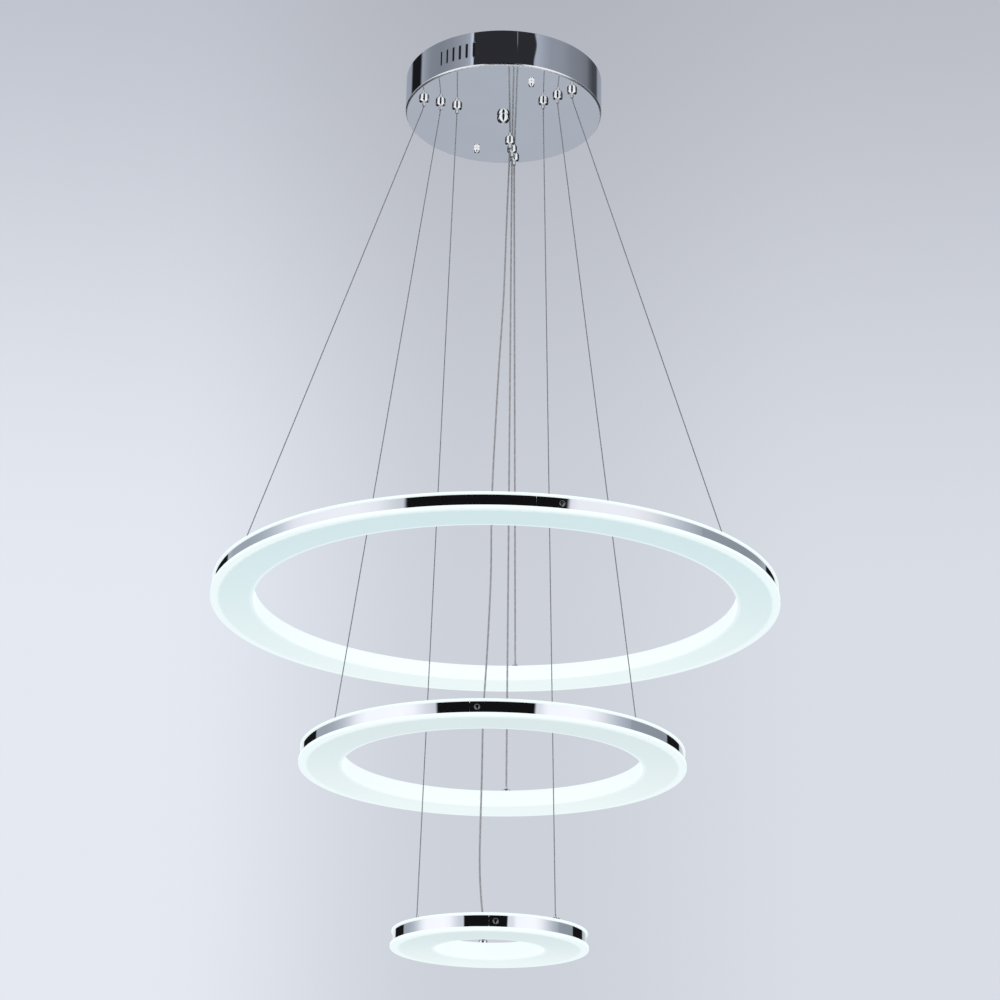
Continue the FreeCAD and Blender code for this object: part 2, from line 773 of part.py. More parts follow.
def make_lines():
    lines = []
    for ring_name in RINGS:
        for side in SIDES:
            slack = ring_name == "small" and side == "far"
            lines.append(make_slack_cord() if slack else make_taut_line(ring_name, side))
    return lines


# ---------------------------------------------------------------- assembly
pieces = [
    make_crossbar(), make_canopy(), make_bar_studs(), make_cap_nuts(), make_centre_ball(),
    make_shank_nuts(), make_driver(), make_terminal_block(),
]
for ring_name in RINGS:
    for side in SIDES:
        pieces += [make_gripper(ring_name, side), make_nozzle(ring_name, side)]
    pieces += make_plates(ring_name) + make_band(ring_name) + make_fittings(ring_name)
pieces += make_lines()
doc.recompute()

for item in doc.Objects:
    if {"Invalid", "Error"} & set(item.State):
        raise RuntimeError("%s failed: %s" % (item.Label, item.State))
for piece in pieces:
    if piece.Shape.isNull() or not piece.Shape.isValid():
        raise RuntimeError(piece.Label + " has no valid shape")
for piece in pieces:
    piece.Shape.exportStep(os.path.join("parts", piece.Label + ".step"))
print("%d pieces" % len(pieces))
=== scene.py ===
import bmesh
import bpy
import json
import math
from mathutils import Matrix, Vector


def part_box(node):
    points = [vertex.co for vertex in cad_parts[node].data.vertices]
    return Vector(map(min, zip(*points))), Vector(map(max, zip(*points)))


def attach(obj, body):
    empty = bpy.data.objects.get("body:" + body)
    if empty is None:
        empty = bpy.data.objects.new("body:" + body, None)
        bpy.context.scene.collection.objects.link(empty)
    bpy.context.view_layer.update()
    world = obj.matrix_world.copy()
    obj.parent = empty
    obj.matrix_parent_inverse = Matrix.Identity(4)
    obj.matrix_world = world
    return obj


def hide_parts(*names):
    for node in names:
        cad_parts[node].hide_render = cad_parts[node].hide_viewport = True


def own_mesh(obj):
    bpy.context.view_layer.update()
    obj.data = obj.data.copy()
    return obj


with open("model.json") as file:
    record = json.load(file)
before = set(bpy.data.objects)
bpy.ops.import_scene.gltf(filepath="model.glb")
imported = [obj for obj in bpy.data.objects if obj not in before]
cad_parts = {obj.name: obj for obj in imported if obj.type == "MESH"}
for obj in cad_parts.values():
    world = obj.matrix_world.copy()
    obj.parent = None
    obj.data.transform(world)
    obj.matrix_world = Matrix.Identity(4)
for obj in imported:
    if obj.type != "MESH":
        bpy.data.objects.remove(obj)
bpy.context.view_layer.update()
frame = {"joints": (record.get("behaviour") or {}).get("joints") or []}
scene = bpy.context.scene
scene.view_settings.view_transform = "Standard"
MM = 0.001
RINGS = ("large", "medium", "small")
SIDES = ("far", "left", "right")


# ---------------------------------------------------------------- camera
# It stands in front of the light, lower than its rings, and looks up at it through a long lens. The
# photograph leans a little to one side, so the camera is rolled by as much.
CAMERA_PLACE = Vector((0.0033, -2.4567, -1.4662))
CAMERA_RISE = math.radians(21.16)
CAMERA_ROLL = math.radians(0.945)

lens = bpy.data.cameras.new("camera")
lens.lens = 88.16
lens.sensor_width = 36
camera = bpy.data.objects.new("camera", lens)
camera.matrix_world = (
    Matrix.Translation(CAMERA_PLACE)
    @ Matrix.Rotation(math.radians(90) + CAMERA_RISE, 4, "X")
    @ Matrix.Rotation(CAMERA_ROLL, 4, "Z")
)
scene.collection.objects.link(camera)
scene.camera = camera


# ---------------------------------------------------------------- studio
# A pale blue-grey room with even light from all sides, a key lamp and a fill lamp, and a floor far
# below. What chrome mirrors is painted apart: bright and dark walls all round, and a black flag.
class Term:
    """One socket of a node tree, used like a number: sums and products add Math nodes."""

    def __init__(self, socket):
        self.socket = socket
        self.tree = Tree(socket.id_data)

    def output(self, name):
        """Another output of the same node."""
        return Term(self.socket.node.outputs[name])

    def __add__(self, other):
        return self.tree.maths("ADD", self, other)

    def __radd__(self, other):
        return self.tree.maths("ADD", other, self)

    def __sub__(self, other):
        return self.tree.maths("SUBTRACT", self, other)

    def __rsub__(self, other):
        return self.tree.maths("SUBTRACT", other, self)

    def __mul__(self, other):
        return self.tree.maths("MULTIPLY", self, other)

    def __rmul__(self, other):
        return self.tree.maths("MULTIPLY", other, self)

    def __truediv__(self, other):
        return self.tree.maths("DIVIDE", self, other)

    def step(self, low, high):
        """0 below low, 1 above high, and a soft step between them."""
        settings = {"interpolation_type": "SMOOTHSTEP"}
        return self.tree.add("ShaderNodeMapRange", settings, {0: self, 1: low, 2: high, 3: 0.0, 4: 1.0})

    def between(self, start, end, width):
        """1 from start to end, with a soft step this wide after each of them."""
        return self.step(start, start + width) * (1 - self.step(end, end + width))


class Tree:
    """A node tree, to which any node is added by its type, its settings and its sockets' values."""

    def __init__(self, tree):
        self.tree = tree

    def add(self, kind, settings=None, sockets=None, output=0):
        node = self.tree.nodes.new(kind)
        for name, setting in (settings or {}).items():
            if name == "stops":
                elements = node.color_ramp.elements
                elements.remove(elements[1])
                elements[0].position, elements[0].color = setting[0][0], (*setting[0][1], 1)
                for place, colour in setting[1:]:
                    elements.new(place).color = (*colour, 1)
            else:
                setattr(node, name, setting)
        for name, given in (sockets or {}).items():
            if isinstance(given, Term):
                self.tree.links.new(given.socket, node.inputs[name])
            else:
                node.inputs[name].default_value = given
        return Term(node.outputs[output]) if node.outputs else None

    def maths(self, operation, *values):
        return self.add("ShaderNodeMath", {"operation": operation}, dict(enumerate(values)))

    def mix(self, share, first, second):
        """Mix two colours, or links to colours."""
        colours = [c if isinstance(c, Term) else (*c, 1) for c in (first, second)]
        sockets = {0: share, 6: colours[0], 7: colours[1]}
        return self.add("ShaderNodeMix", {"data_type": "RGBA"}, sockets, output=2)

    def ramp(self, share, stops):
        return self.add("ShaderNodeValToRGB", {"stops": stops}, {"Fac": share})

    def coordinates(self, kind="Object"):
        """Where a point of the surface is, as three values."""
        place = self.add("ShaderNodeTexCoord", output=kind)
        x = self.add("ShaderNodeSeparateXYZ", sockets={0: place})
        return x, x.output("Y"), x.output("Z")


def paint(red, green, blue):
    """A colour as a screen shows it, 0 to 255, as the linear values that shaders take."""
    shares = (part / 255 for part in (red, green, blue))
    return tuple(s / 12.92 if s < 0.04045 else ((s + 0.055) / 1.055) ** 2.4 for s in shares)


def grey(level):
    return (level, level, level)


def cool(level):
    return (0.92 * level, level, 1.2 * level)


def steel(level):
    """A cool grey that turns almost white where it is bright."""
    white = min(max((level - 0.45) / 0.4, 0), 1)
    return ((0.89 + 0.1 * white) * level, level, (1.15 - 0.07 * white) * level)


def around(levels, tint):
    """Ramp stops round the horizon, from a list of bearings in degrees and how bright it is there."""
    return [(bearing / 360, tint(level)) for bearing, level in levels]


studio = bpy.data.worlds.new("studio")
studio.use_nodes = True
studio.node_tree.nodes.clear()
scene.world = studio
sky = Tree(studio.node_tree)
across, away, up = sky.coordinates("Generated")
rise = sky.maths("ARCSINE", up) * (180 / math.pi)
turns = sky.maths("FRACT", sky.maths("ARCTAN2", away, across) / (2 * math.pi))
bearing = turns * 360

lowness = 1 - rise.step(18.0, 36.0)
spread = sky.maths("ABSOLUTE", across).step(0.01, 0.14)
middle_wall = sky.mix(lowness, paint(175, 178, 187), paint(205, 209, 218))
left_wall = sky.mix(lowness, paint(186, 190, 200), paint(229, 233, 242))
right_wall = sky.mix(lowness, paint(182, 185, 194), paint(217, 221, 230))
side_wall = sky.mix(across.step(-0.02, 0.02), left_wall, right_wall)
wall = sky.mix(spread, middle_wall, side_wall)

# How bright the surroundings are that the bands mirror, and those that the canopy's side mirrors, at
# bearings in degrees from +X by way of +Y. The levels were fitted to how bright the photograph's bands
# and canopy are, so their reflections are right from the photograph's side only.
RING_LEVEL = [
    (0, 0.33), (8, 0.31), (30, 0.28), (42, 0.3), (62, 0.55), (82, 0.85), (112, 0.85), (126, 0.6),
    (138, 0.37), (152, 0.38), (160, 0.42), (168, 0.5), (175, 0.64), (183, 0.87), (190, 0.98),
    (214, 1.0), (222, 0.94), (230, 0.73), (236, 0.64), (297, 0.75), (302, 0.97), (318, 1.0),
    (326, 0.98), (334, 0.86), (342, 0.67), (350, 0.51), (360, 0.37),
]
CANOPY_LEVEL = [
    (0, 0.22), (14, 0.195), (24, 0.17), (31, 0.1), (38, 0.06), (50, 0.06), (56, 0.3), (84, 0.38), (128, 0.33),
    (133, 0.01), (154, 0.01), (158, 0.36), (166, 0.28), (174, 0.235), (190, 0.225), (206, 0.25),
    (222, 0.31), (229, 0.36), (232, 0.58), (240, 0.58), (300, 0.3), (308, 0.42), (318, 0.34),
    (326, 0.29), (342, 0.275), (356, 0.225),
]
highness = rise.step(23.0, 29.0)
round_rings = sky.ramp(turns, around(RING_LEVEL, steel))
to_upper_ring = rise.step(16.5, 18.5)
to_lower_rings = 1 - to_upper_ring
to_lowest_ring = 1 - rise.step(12.5, 14.0)
gap_left_start = 110 + 2 * to_lower_rings + 7 * to_lowest_ring
gap_left_end = 131 + 7 * to_lower_rings + 8 * to_lowest_ring
gap_left = bearing.between(gap_left_start, gap_left_end, 2)
gap_right_start = 50 - 13.5 * to_lower_rings - 11 * to_lowest_ring
gap_right_end = 66 - 7 * to_lower_rings - 6 * to_lowest_ring
gap_right = bearing.between(gap_right_start, gap_right_end, 2)
round_rings = sky.mix(gap_left + gap_right, round_rings, (0.008, 0.008, 0.009))
bright_half = bearing.between(176, 334, 16)
round_rings = sky.mix(0.11 * to_upper_ring * bright_half, round_rings, (0.0, 0.0, 0.0))
round_canopy = sky.ramp(turns, around(CANOPY_LEVEL, cool))
flag_left = 246.5 - 0.61 * sky.maths("MINIMUM", rise, 21.0)
flag_right = 282 + 0.78 * rise + 1.6 * highness * sky.maths("SINE", 7.4 * rise)
flag = bearing.between(flag_left - 1, flag_right - 1, 2)
streak = bearing.between(284.5, 285.3, 0.5) * rise.step(31.55, 31.75)
in_canopy = sky.mix(streak, paint(43, 43, 48), paint(130, 130, 138))
black = sky.mix(highness, paint(18, 18, 20), in_canopy)
around_it = sky.mix(flag, sky.mix(highness, round_rings, round_canopy), black)

seen = sky.add("ShaderNodeLightPath", output="Is Camera Ray")
even = sky.mix(sky.maths("MAXIMUM", seen, seen.output("Is Transmission Ray")), (0.76, 0.78, 0.81), wall)
light = sky.mix(seen.output("Is Glossy Ray"), even, around_it)
background = sky.add("ShaderNodeBackground", sockets={"Color": light, "Strength": 1.0})
sky.add("ShaderNodeOutputWorld", sockets={"Surface": background})

for name, place, width, power in (("key", (-2.4, -2.6, 1.9), 2.4, 60), ("fill", (2.8, -1.6, 0.6), 2.0, 28)):
    lamp = bpy.data.lights.new(name, "AREA")
    lamp.size = width
    lamp.energy = power
    holder = bpy.data.objects.new(name, lamp)
    holder.matrix_world = Matrix.Translation(place) @ (
        (Vector((0, 0, -0.5)) - Vector(place)).to_track_quat("-Z", "Y").to_matrix().to_4x4()
    )
    holder.visible_glossy = False
    scene.collection.objects.link(holder)


def new_finish(name):
    """An empty material and its tree."""
    material = bpy.data.materials.new(name)
    material.use_nodes = True
    material.node_tree.nodes.clear()
    return material, Tree(material.node_tree)


def coat(tree, sockets):
    """End a material: one surface shader with these values and links."""
    shader = tree.add("ShaderNodeBsdfPrincipled", sockets=sockets)
    tree.add("ShaderNodeOutputMaterial", sockets={"Surface": shader})


def grain(tree, scale, detail=3.0, stretch=(1, 1, 1)):
    """Noise on the piece's own coordinates, this many grains to the metre."""
    place = tree.add("ShaderNodeTexCoord", output="Object")
    laid = tree.add("ShaderNodeMapping", sockets={"Vector": place, "Scale": stretch})
    return tree.add("ShaderNodeTexNoise", sockets={"Vector": laid, "Scale": scale, "Detail": detail})


def bump(tree, height, depth, strength=1.0):
    return tree.add("ShaderNodeBump", sockets={"Height": height, "Distance": depth, "Strength": strength})


FLOOR_DEPTH = 4.2
FLOOR_REACH = 60
floor_finish, tree = new_finish("floor_paint")
floor_place = tree.add("ShaderNodeTexCoord", output="Object")
distance = tree.add("ShaderNodeVectorMath", {"operation": "LENGTH"}, {0: floor_place}, output="Value")
pale = tree.mix(distance.step(6.5, 26.0), paint(181, 192, 201), paint(226, 230, 239))
floor_colour = tree.mix(grain(tree, 3.0) * 0.06, pale, paint(150, 156, 164))
floor_x = tree.add("ShaderNodeSeparateXYZ", sockets={0: floor_place})
floor_turn = tree.maths("FRACT", tree.maths("ARCTAN2", floor_x.output("Y"), floor_x) / (2 * math.pi)) * 360
# Painted reflection: mirror rays see a glow of its own instead of the floor's paint. It is grey at the far
# side, bright in front, black straight in front and under the light, and near black elsewhere.
reflected_far_sector = floor_turn.between(58, 110, 12)
reflected_front_sector = floor_turn.between(186, 344, 10)
reflected_black_patch = floor_turn.between(247, 289, 4)
reflected_black_patch = tree.maths("MAXIMUM", reflected_black_patch, 1 - distance.step(1.9, 2.6))
painted_reflection = tree.mix(reflected_far_sector, (0.02, 0.02, 0.024), (0.41, 0.445, 0.51))
painted_reflection = tree.mix(reflected_front_sector, painted_reflection, (0.9, 0.91, 0.95))
painted_reflection = tree.mix(reflected_black_patch, painted_reflection, (0.012, 0.012, 0.014))
paint_coat = tree.add("ShaderNodeBsdfPrincipled", sockets={
    "Base Color": floor_colour, "Roughness": 0.9, "Specular IOR Level": 0.1,
})
in_chrome = tree.add("ShaderNodeEmission", sockets={"Color": painted_reflection})
is_glossy = tree.add("ShaderNodeLightPath", output="Is Glossy Ray")
tree.add("ShaderNodeOutputMaterial", sockets={
    "Surface": tree.add("ShaderNodeMixShader", sockets={0: is_glossy, 1: paint_coat, 2: in_chrome}),
})
floor_mesh = bpy.data.meshes.new("floor")
corners = [(x * FLOOR_REACH, y * FLOOR_REACH, -FLOOR_DEPTH) for x, y in ((-1, -1), (1, -1), (1, 1), (-1, 1))]
floor_mesh.from_pydata(corners, [], [(0, 1, 2, 3)])
floor_mesh.materials.append(floor_finish)
floor = bpy.data.objects.new("floor", floor_mesh)
scene.collection.objects.link(floor)

# A dark sheet where the ceiling would be: painted shade for the inside of the canopy, as the camera sees
# it from below through the vent slots. From above, and for other rays, it is clear, so that the inside of the
# canopy shows.
ceiling_finish, tree = new_finish("canopy_shade_sheet")
from_below = 1 - tree.add("ShaderNodeNewGeometry", output="Backfacing")
seen_below = from_below * tree.add("ShaderNodeLightPath", output="Is Camera Ray")
clear = tree.add("ShaderNodeBsdfTransparent")
# Painted shade: a near-black glow that only the camera sees, and only from below.
painted_shade = tree.add("ShaderNodeEmission", sockets={"Color": (0.012, 0.012, 0.014, 1)})
tree.add("ShaderNodeOutputMaterial", sockets={
    "Surface": tree.add("ShaderNodeMixShader", sockets={0: seen_below, 1: clear, 2: painted_shade}),
})
CEILING_RADIUS, CEILING_GAP, CEILING_STEPS = 110 * MM, 0.1 * MM, 64
ceiling_mesh = bpy.data.meshes.new("ceiling")
ceiling_rim = [
    (CEILING_RADIUS * math.cos(turned), -CEILING_RADIUS * math.sin(turned), -CEILING_GAP)
    for turned in (2 * math.pi * step / CEILING_STEPS for step in range(CEILING_STEPS))
]
ceiling_mesh.from_pydata(ceiling_rim, [], [tuple(range(CEILING_STEPS))])
ceiling_mesh.materials.append(ceiling_finish)
ceiling = bpy.data.objects.new("ceiling", ceiling_mesh)
scene.collection.objects.link(ceiling)


# ---------------------------------------------------------------- crossbar and its studs
# A strip of zinc-plated steel with rounded ends, screwed to the ceiling through its two outer holes.
# Two lengths of threaded rod stand in it and reach down through the canopy.
def zinc_finish(name):
    """Zinc plating: dull blue-white metal with cloudy patches and fine rolling marks."""
    material, tree = new_finish(name)
    cloud = grain(tree, 90, 4.0)
    rolled = grain(tree, 260, 2.0, (1, 12, 1))
    patches = [(0.3, (0.5, 0.52, 0.53)), (0.55, (0.66, 0.68, 0.69)), (0.75, (0.58, 0.6, 0.64))]
    colour = tree.ramp(cloud, patches)
    roughness = 0.27 + 0.2 * cloud + 0.08 * rolled
    sockets = {"Base Color": colour, "Metallic": 1.0, "Roughness": roughness}
    coat(tree, {**sockets, "Normal": bump(tree, cloud * 0.6 + rolled, 0.02 * MM)})
    return material


zinc = zinc_finish("zinc_plate")


def add_piece(name, mesh, *finishes):
    """A piece from a mesh or from a mesh maker, with its finishes."""
    if isinstance(mesh, bmesh.types.BMesh):
        made = bpy.data.meshes.new(name)
        mesh.to_mesh(made)
        mesh.free()
        mesh = made
    for finish in finishes:
        mesh.materials.append(finish)
    piece = bpy.data.objects.new(name, mesh)
    scene.collection.objects.link(piece)
    return piece


def kept_mesh(piece):
    """The mesh that a piece's modifiers make, taken as it is now; the modifiers go."""
    bpy.context.view_layer.update()
    view = bpy.context.evaluated_depsgraph_get()
    mesh = bpy.data.meshes.new_from_object(
        piece.evaluated_get(view), preserve_all_data_layers=True, depsgraph=view
    )
    piece.modifiers.clear()
    piece.data = mesh
    return piece


def shape_tree(name, **sizes):
    """Start a geometry tree whose named inputs are these sizes; gives the tree and its inputs."""
    group = bpy.data.node_groups.new(name, "GeometryNodeTree")
    group.interface.new_socket("Geometry", in_out="INPUT", socket_type="NodeSocketGeometry")
    for label, kind in sizes.items():
        group.interface.new_socket(label, in_out="INPUT", socket_type="NodeSocket" + kind)
    group.interface.new_socket("finish", in_out="INPUT", socket_type="NodeSocketMaterial")
    group.interface.new_socket("Geometry", in_out="OUTPUT", socket_type="NodeSocketGeometry")
    tree = Tree(group)
    return tree, tree.add("NodeGroupInput").output


def end_shape(tree, shape, given):
    """End a geometry tree: real copies and their finish."""
    real = tree.add("GeometryNodeRealizeInstances", sockets={"Geometry": shape})
    coated = tree.add("GeometryNodeSetMaterial", sockets={"Geometry": real, "Material": given("finish")})
    tree.add("NodeGroupOutput", sockets={"Geometry": coated})


def grow(name, tree, start=None, **sizes):
    """Run a geometry tree with these sizes and keep what it makes as a plain mesh."""
    piece = add_piece(name, start or bpy.data.meshes.new(name))
    maker = piece.modifiers.new("maker", "NODES")
    maker.node_group = tree.tree
    for socket in tree.tree.interface.items_tree:
        if socket.name in sizes:
            maker[socket.identifier] = sizes[socket.name]
    return kept_mesh(piece)


def fit(piece, body, slot, *nodes):
    """Smooth a finished piece, hang it on its body, and let it stand for its CAD nodes."""
    piece.data.shade_smooth()
    piece.data.set_sharp_from_angle(angle=math.radians(35))
    weights = piece.modifiers.new("weights", "WEIGHTED_NORMAL")
    weights.keep_sharp = True
    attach(piece, body)
    if nodes:
        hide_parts(*nodes)
    return piece


def joined(name, parts, *finishes):
    """One piece from several meshes, each with the place it stands in and its finish's number."""
    whole = bmesh.new()
    for mesh, place, number in parts:
        first = len(whole.faces)
        moved = mesh.copy()
        moved.transform(place)
        whole.from_mesh(moved)
        whole.faces.ensure_lookup_table()
        for face in whole.faces[first:]:
            face.material_index = number
    return add_piece(name, whole, *finishes)


def taken(piece):
    """The mesh of a piece that only served to make it; the piece goes."""
    mesh = piece.data
    bpy.data.objects.remove(piece)
    return mesh


def at(x, y, z, turn=0.0):
    return Matrix.Translation((x, y, z)) @ Matrix.Rotation(turn, 4, "Z")


def spoke(reach, angle):
    """A place this far from the axis, at this angle."""
    return reach * math.cos(angle), reach * math.sin(angle)


def plate_mesh(outlines, thickness, edge):
    """A flat plate under Z = 0 from closed outlines, the outer one and its holes, with broken edges."""
    sketch = bpy.data.curves.new("plate", "CURVE")
    sketch.dimensions = "2D"
    sketch.fill_mode = "BOTH"
    sketch.extrude = thickness / 2 - edge
    sketch.bevel_depth = edge
    sketch.bevel_resolution = 2
    sketch.offset = -edge
    for outline in outlines:
        line = sketch.splines.new("POLY")
        line.points.add(len(outline) - 1)
        for point, place in zip(line.points, outline):
            point.co = (*place, 0, 1)
        line.use_cyclic_u = True
    mesh = bpy.data.meshes.new_from_object(bpy.data.objects.new("plate", sketch))
    mesh.transform(Matrix.Translation((0, 0, -thickness / 2)))
    tidy = bmesh.new()
    tidy.from_mesh(mesh)
    bmesh.ops.remove_doubles(tidy, verts=tidy.verts, dist=1e-6)
    tidy.to_mesh(mesh)
    tidy.free()
    return mesh


def circle(radius, x=0.0, y=0.0, steps=32):
    turned = (2 * math.pi * step / steps for step in range(steps))
    return [(x + radius * math.cos(t), y + radius * math.sin(t)) for t in turned]


def rounded_box(length, width, corner, steps=10):
    """A rectangle with round corners."""
    points = []
    for quarter, (x, y) in enumerate(((1, 1), (-1, 1), (-1, -1), (1, -1))):
        for step in range(steps + 1):
            turned = (quarter + step / steps) * math.pi / 2
            points.append((
                x * (length / 2 - corner) + corner * math.cos(turned),
                y * (width / 2 - corner) + corner * math.sin(turned),
            ))
    return points


BAR_ANGLE = math.radians(112)
BAR_LENGTH, BAR_WIDTH, BAR_THICKNESS = 188 * MM, 24 * MM, 2 * MM
STUD_PITCH, CEILING_HOLE_PITCH = 164 * MM, 110 * MM
STUD_RADIUS, STUD_THREAD = 2 * MM, 0.7 * MM
CABLE_ENTRY, CEILING_HOLE = 5.25 * MM, 2.75 * MM
bar_outlines = [
    rounded_box(BAR_LENGTH, BAR_WIDTH, BAR_WIDTH / 3),
    circle(CABLE_ENTRY),
    *(circle(CEILING_HOLE, sign * CEILING_HOLE_PITCH / 2) for sign in (1, -1)),
    *(circle(STUD_RADIUS + 0.1 * MM, sign * STUD_PITCH / 2) for sign in (1, -1)),
]
bar = add_piece("crossbar_strip", plate_mesh(bar_outlines, BAR_THICKNESS, 0.3 * MM), zinc)
bar.data.transform(Matrix.Rotation(BAR_ANGLE, 4, "Z"))
fit(bar, "canopy_assembly", "zinc_steel", "crossbar")

# A rod with a thread: a fine cylinder whose skin is drawn in between the turns of a helix.
thread_tree, given = shape_tree(
    "threaded_rod", radius="Float", length="Float", pitch="Float", depth="Float", rows="Int"
)
blank = thread_tree.add("GeometryNodeMeshCylinder", {}, {
    "Vertices": 24, "Side Segments": given("rows"), "Radius": given("radius"), "Depth": given("length"),
})
rod_place = thread_tree.add("GeometryNodeInputPosition")
rod_x = thread_tree.add("ShaderNodeSeparateXYZ", sockets={0: rod_place})
rod_y, rod_z = rod_x.output("Y"), rod_x.output("Z")
helix = thread_tree.maths(
    "FRACT", rod_z / given("pitch") - thread_tree.maths("ARCTAN2", rod_y, rod_x) / (2 * math.pi)
)
groove = thread_tree.maths("ABSOLUTE", helix * 2 - 1)
drawn_in = 1 - groove * given("depth") / given("radius")
flat = thread_tree.add("ShaderNodeCombineXYZ", sockets={0: rod_x * drawn_in, 1: rod_y * drawn_in, 2: rod_z})
cut_rod = thread_tree.add("GeometryNodeSetPosition", sockets={"Geometry": blank, "Position": flat})
end_shape(thread_tree, cut_rod, given)


def rod_mesh(radius, length, pitch):
    """A threaded rod that stands on Z = 0."""
    rows = round(length / pitch * 4)
    rod = grow("rod", thread_tree, radius=radius, length=length, pitch=pitch, depth=0.55 * pitch, rows=rows)
    mesh = taken(rod)
    mesh.materials.clear()
    mesh.transform(Matrix.Translation((0, 0, length / 2)))
    return mesh


def stud_place(sign, up):
    return at(*spoke(sign * STUD_PITCH / 2, BAR_ANGLE), up)


stud_low, stud_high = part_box("bar_studs")
stud = rod_mesh(STUD_RADIUS, stud_high.z - stud_low.z, STUD_THREAD)
studs = joined("stud_rods", [(stud, stud_place(sign, stud_low.z), 0) for sign in (1, -1)], zinc)
fit(studs, "canopy_assembly", "zinc_steel", "bar_studs")


# ---------------------------------------------------------------- canopy
# A cup spun from thin steel sheet, polished and chromed, open to the ceiling. Two rows of upright vent
# slots are punched through its side, and round holes through its underside for what it carries.
SHEET, LIP = 1.2 * MM, 2.4 * MM


def chrome_finish(name, waves, tone=1.0, rolled_edge=None):
    """Bright chrome: a mirror with faint wiping haze. A rolled edge, by radius and level, is duller."""
    material, tree = new_finish(name)
    haze = grain(tree, 22, 4.0)
    wiped = grain(tree, 420, 2.0, (1, 1, 0.12))
    roughness = 0.012 + 0.03 * haze * haze + 0.02 * wiped.step(0.62, 0.8)
    if rolled_edge:
        radius, level = rolled_edge
        x, y, z = tree.coordinates()
        outside = tree.maths("SQRT", x * x + y * y).step(radius - LIP, radius - LIP / 2)
        roughness = roughness + 0.4 * outside * (1 - z.step(level + LIP / 4, level + 3 * LIP / 4))
    dull, clean = (tuple(tone * part for part in c) for c in ((0.93, 0.945, 0.95), (0.96, 0.965, 0.965)))
    colour = tree.mix(haze.step(0.3, 0.8), dull, clean)
    sockets = {"Base Color": colour, "Metallic": 1.0, "Roughness": roughness}
    coat(tree, {**sockets, "Normal": bump(tree, grain(tree, 14, 1.0), waves)})
    return material


ARC_STEPS = 7


def outlined(corners):
    """The points of an outline of radii and heights; a corner's third number rounds it."""
    points = []
    for index, corner in enumerate(corners):
        here = Vector(corner[:2])
        if len(corner) == 2:
            points.append(here)
            continue
        before = (Vector(corners[index - 1][:2]) - here).normalized()
        after = (Vector(corners[(index + 1) % len(corners)][:2]) - here).normalized()
        half = before.angle(after) / 2
        centre = here + (before + after).normalized() * corner[2] / math.sin(half)
        start, end = (here + way * corner[2] / math.tan(half) - centre for way in (before, after))
        spokes = (start.lerp(end, step / ARC_STEPS) for step in range(ARC_STEPS + 1))
        points += [centre + spoke.normalized() * corner[2] for spoke in spokes]
    return points


def turned_mesh(corners, steps=64, ring=False):
    """Turn an outline about Z. It begins and ends on the axis, or closes round a bore."""
    lathe = bmesh.new()
    verts = [lathe.verts.new((radius, 0, height)) for radius, height in outlined(corners)]
    for pair in zip(verts, verts[1:] + verts[:1] if ring else verts[1:]):
        lathe.edges.new(pair)
    profile = [*lathe.verts, *lathe.edges]
    bmesh.ops.spin(
        lathe, geom=profile, cent=(0, 0, 0), axis=(0, 0, 1), angle=2 * math.pi, steps=steps, use_merge=True
    )
    bmesh.ops.remove_doubles(lathe, verts=lathe.verts, dist=1e-7)
    bmesh.ops.recalc_face_normals(lathe, faces=lathe.faces)
    if lathe.calc_volume(signed=True) < 0:
        bmesh.ops.reverse_faces(lathe, faces=lathe.faces)
    mesh = bpy.data.meshes.new("turned")
    lathe.to_mesh(mesh)
    lathe.free()
    return mesh


def pin_mesh(radius, low, high, steps=32):
    """A plain round pin along Z, which cuts a hole."""
    return turned_mesh([(0, low), (radius, low), (radius, high), (0, high)], steps)


def carve(piece, tools, operation="DIFFERENCE"):
    """Cut meshes, each with its place, out of a piece, or keep only what lies inside them."""
    tool = joined("tool", [(mesh, place, 0) for mesh, place in tools])
    knife = piece.modifiers.new("knife", "BOOLEAN")
    knife.object = tool
    knife.operation = operation
    knife.solver = "EXACT"
    kept_mesh(piece)
    bpy.data.objects.remove(tool)
    return piece


SHANK_RADIUS = 4.0 * MM
canopy_low, canopy_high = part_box("canopy")
CANOPY_RADIUS, UNDERSIDE = canopy_high.x, canopy_low.z
canopy_finish = chrome_finish("canopy_chrome", 0.08 * MM, rolled_edge=(CANOPY_RADIUS, UNDERSIDE))


def gripper_spot(ring, side):
    """Where a gripper stands in the canopy's underside, from the nozzle that it holds."""
    low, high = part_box("nozzle_%s_%s" % (ring, side))
    return (low.x + high.x) / 2, (low.y + high.y) / 2


# The vent slots: upright slots with round ends, in two rows across from each other, all cut at once.
SLOT_WIDTH, SLOT_HEIGHT, SLOT_ROUND = 3 * MM, 19 * MM, 1.499 * MM
FIRST_SLOT, SLOT_PITCH, SLOT_COUNT = math.radians(231), math.radians(4.26), 6
PUNCH_REACH = 5 * MM
vent_tree, given = shape_tree(
    "vent_slots", radius="Float", middle="Float", first="Float", pitch="Float", count="Int"
)
slot_line = vent_tree.add(
    "GeometryNodeCurvePrimitiveQuadrilateral", sockets={"Width": SLOT_WIDTH, "Height": SLOT_HEIGHT}
)
slot_line = vent_tree.add(
    "GeometryNodeFilletCurve", {"mode": "POLY"}, {"Curve": slot_line, "Count": 8, "Radius": SLOT_ROUND}
)
inwards = vent_tree.add("ShaderNodeCombineXYZ", sockets={0: given("radius") - PUNCH_REACH})
outwards = vent_tree.add("ShaderNodeCombineXYZ", sockets={0: given("radius") + PUNCH_REACH})
punch_path = vent_tree.add("GeometryNodeCurvePrimitiveLine", sockets={"Start": inwards, "End": outwards})
punch_path = vent_tree.add("GeometryNodeSetCurveNormal", {"mode": "Z_UP"}, {"Curve": punch_path})
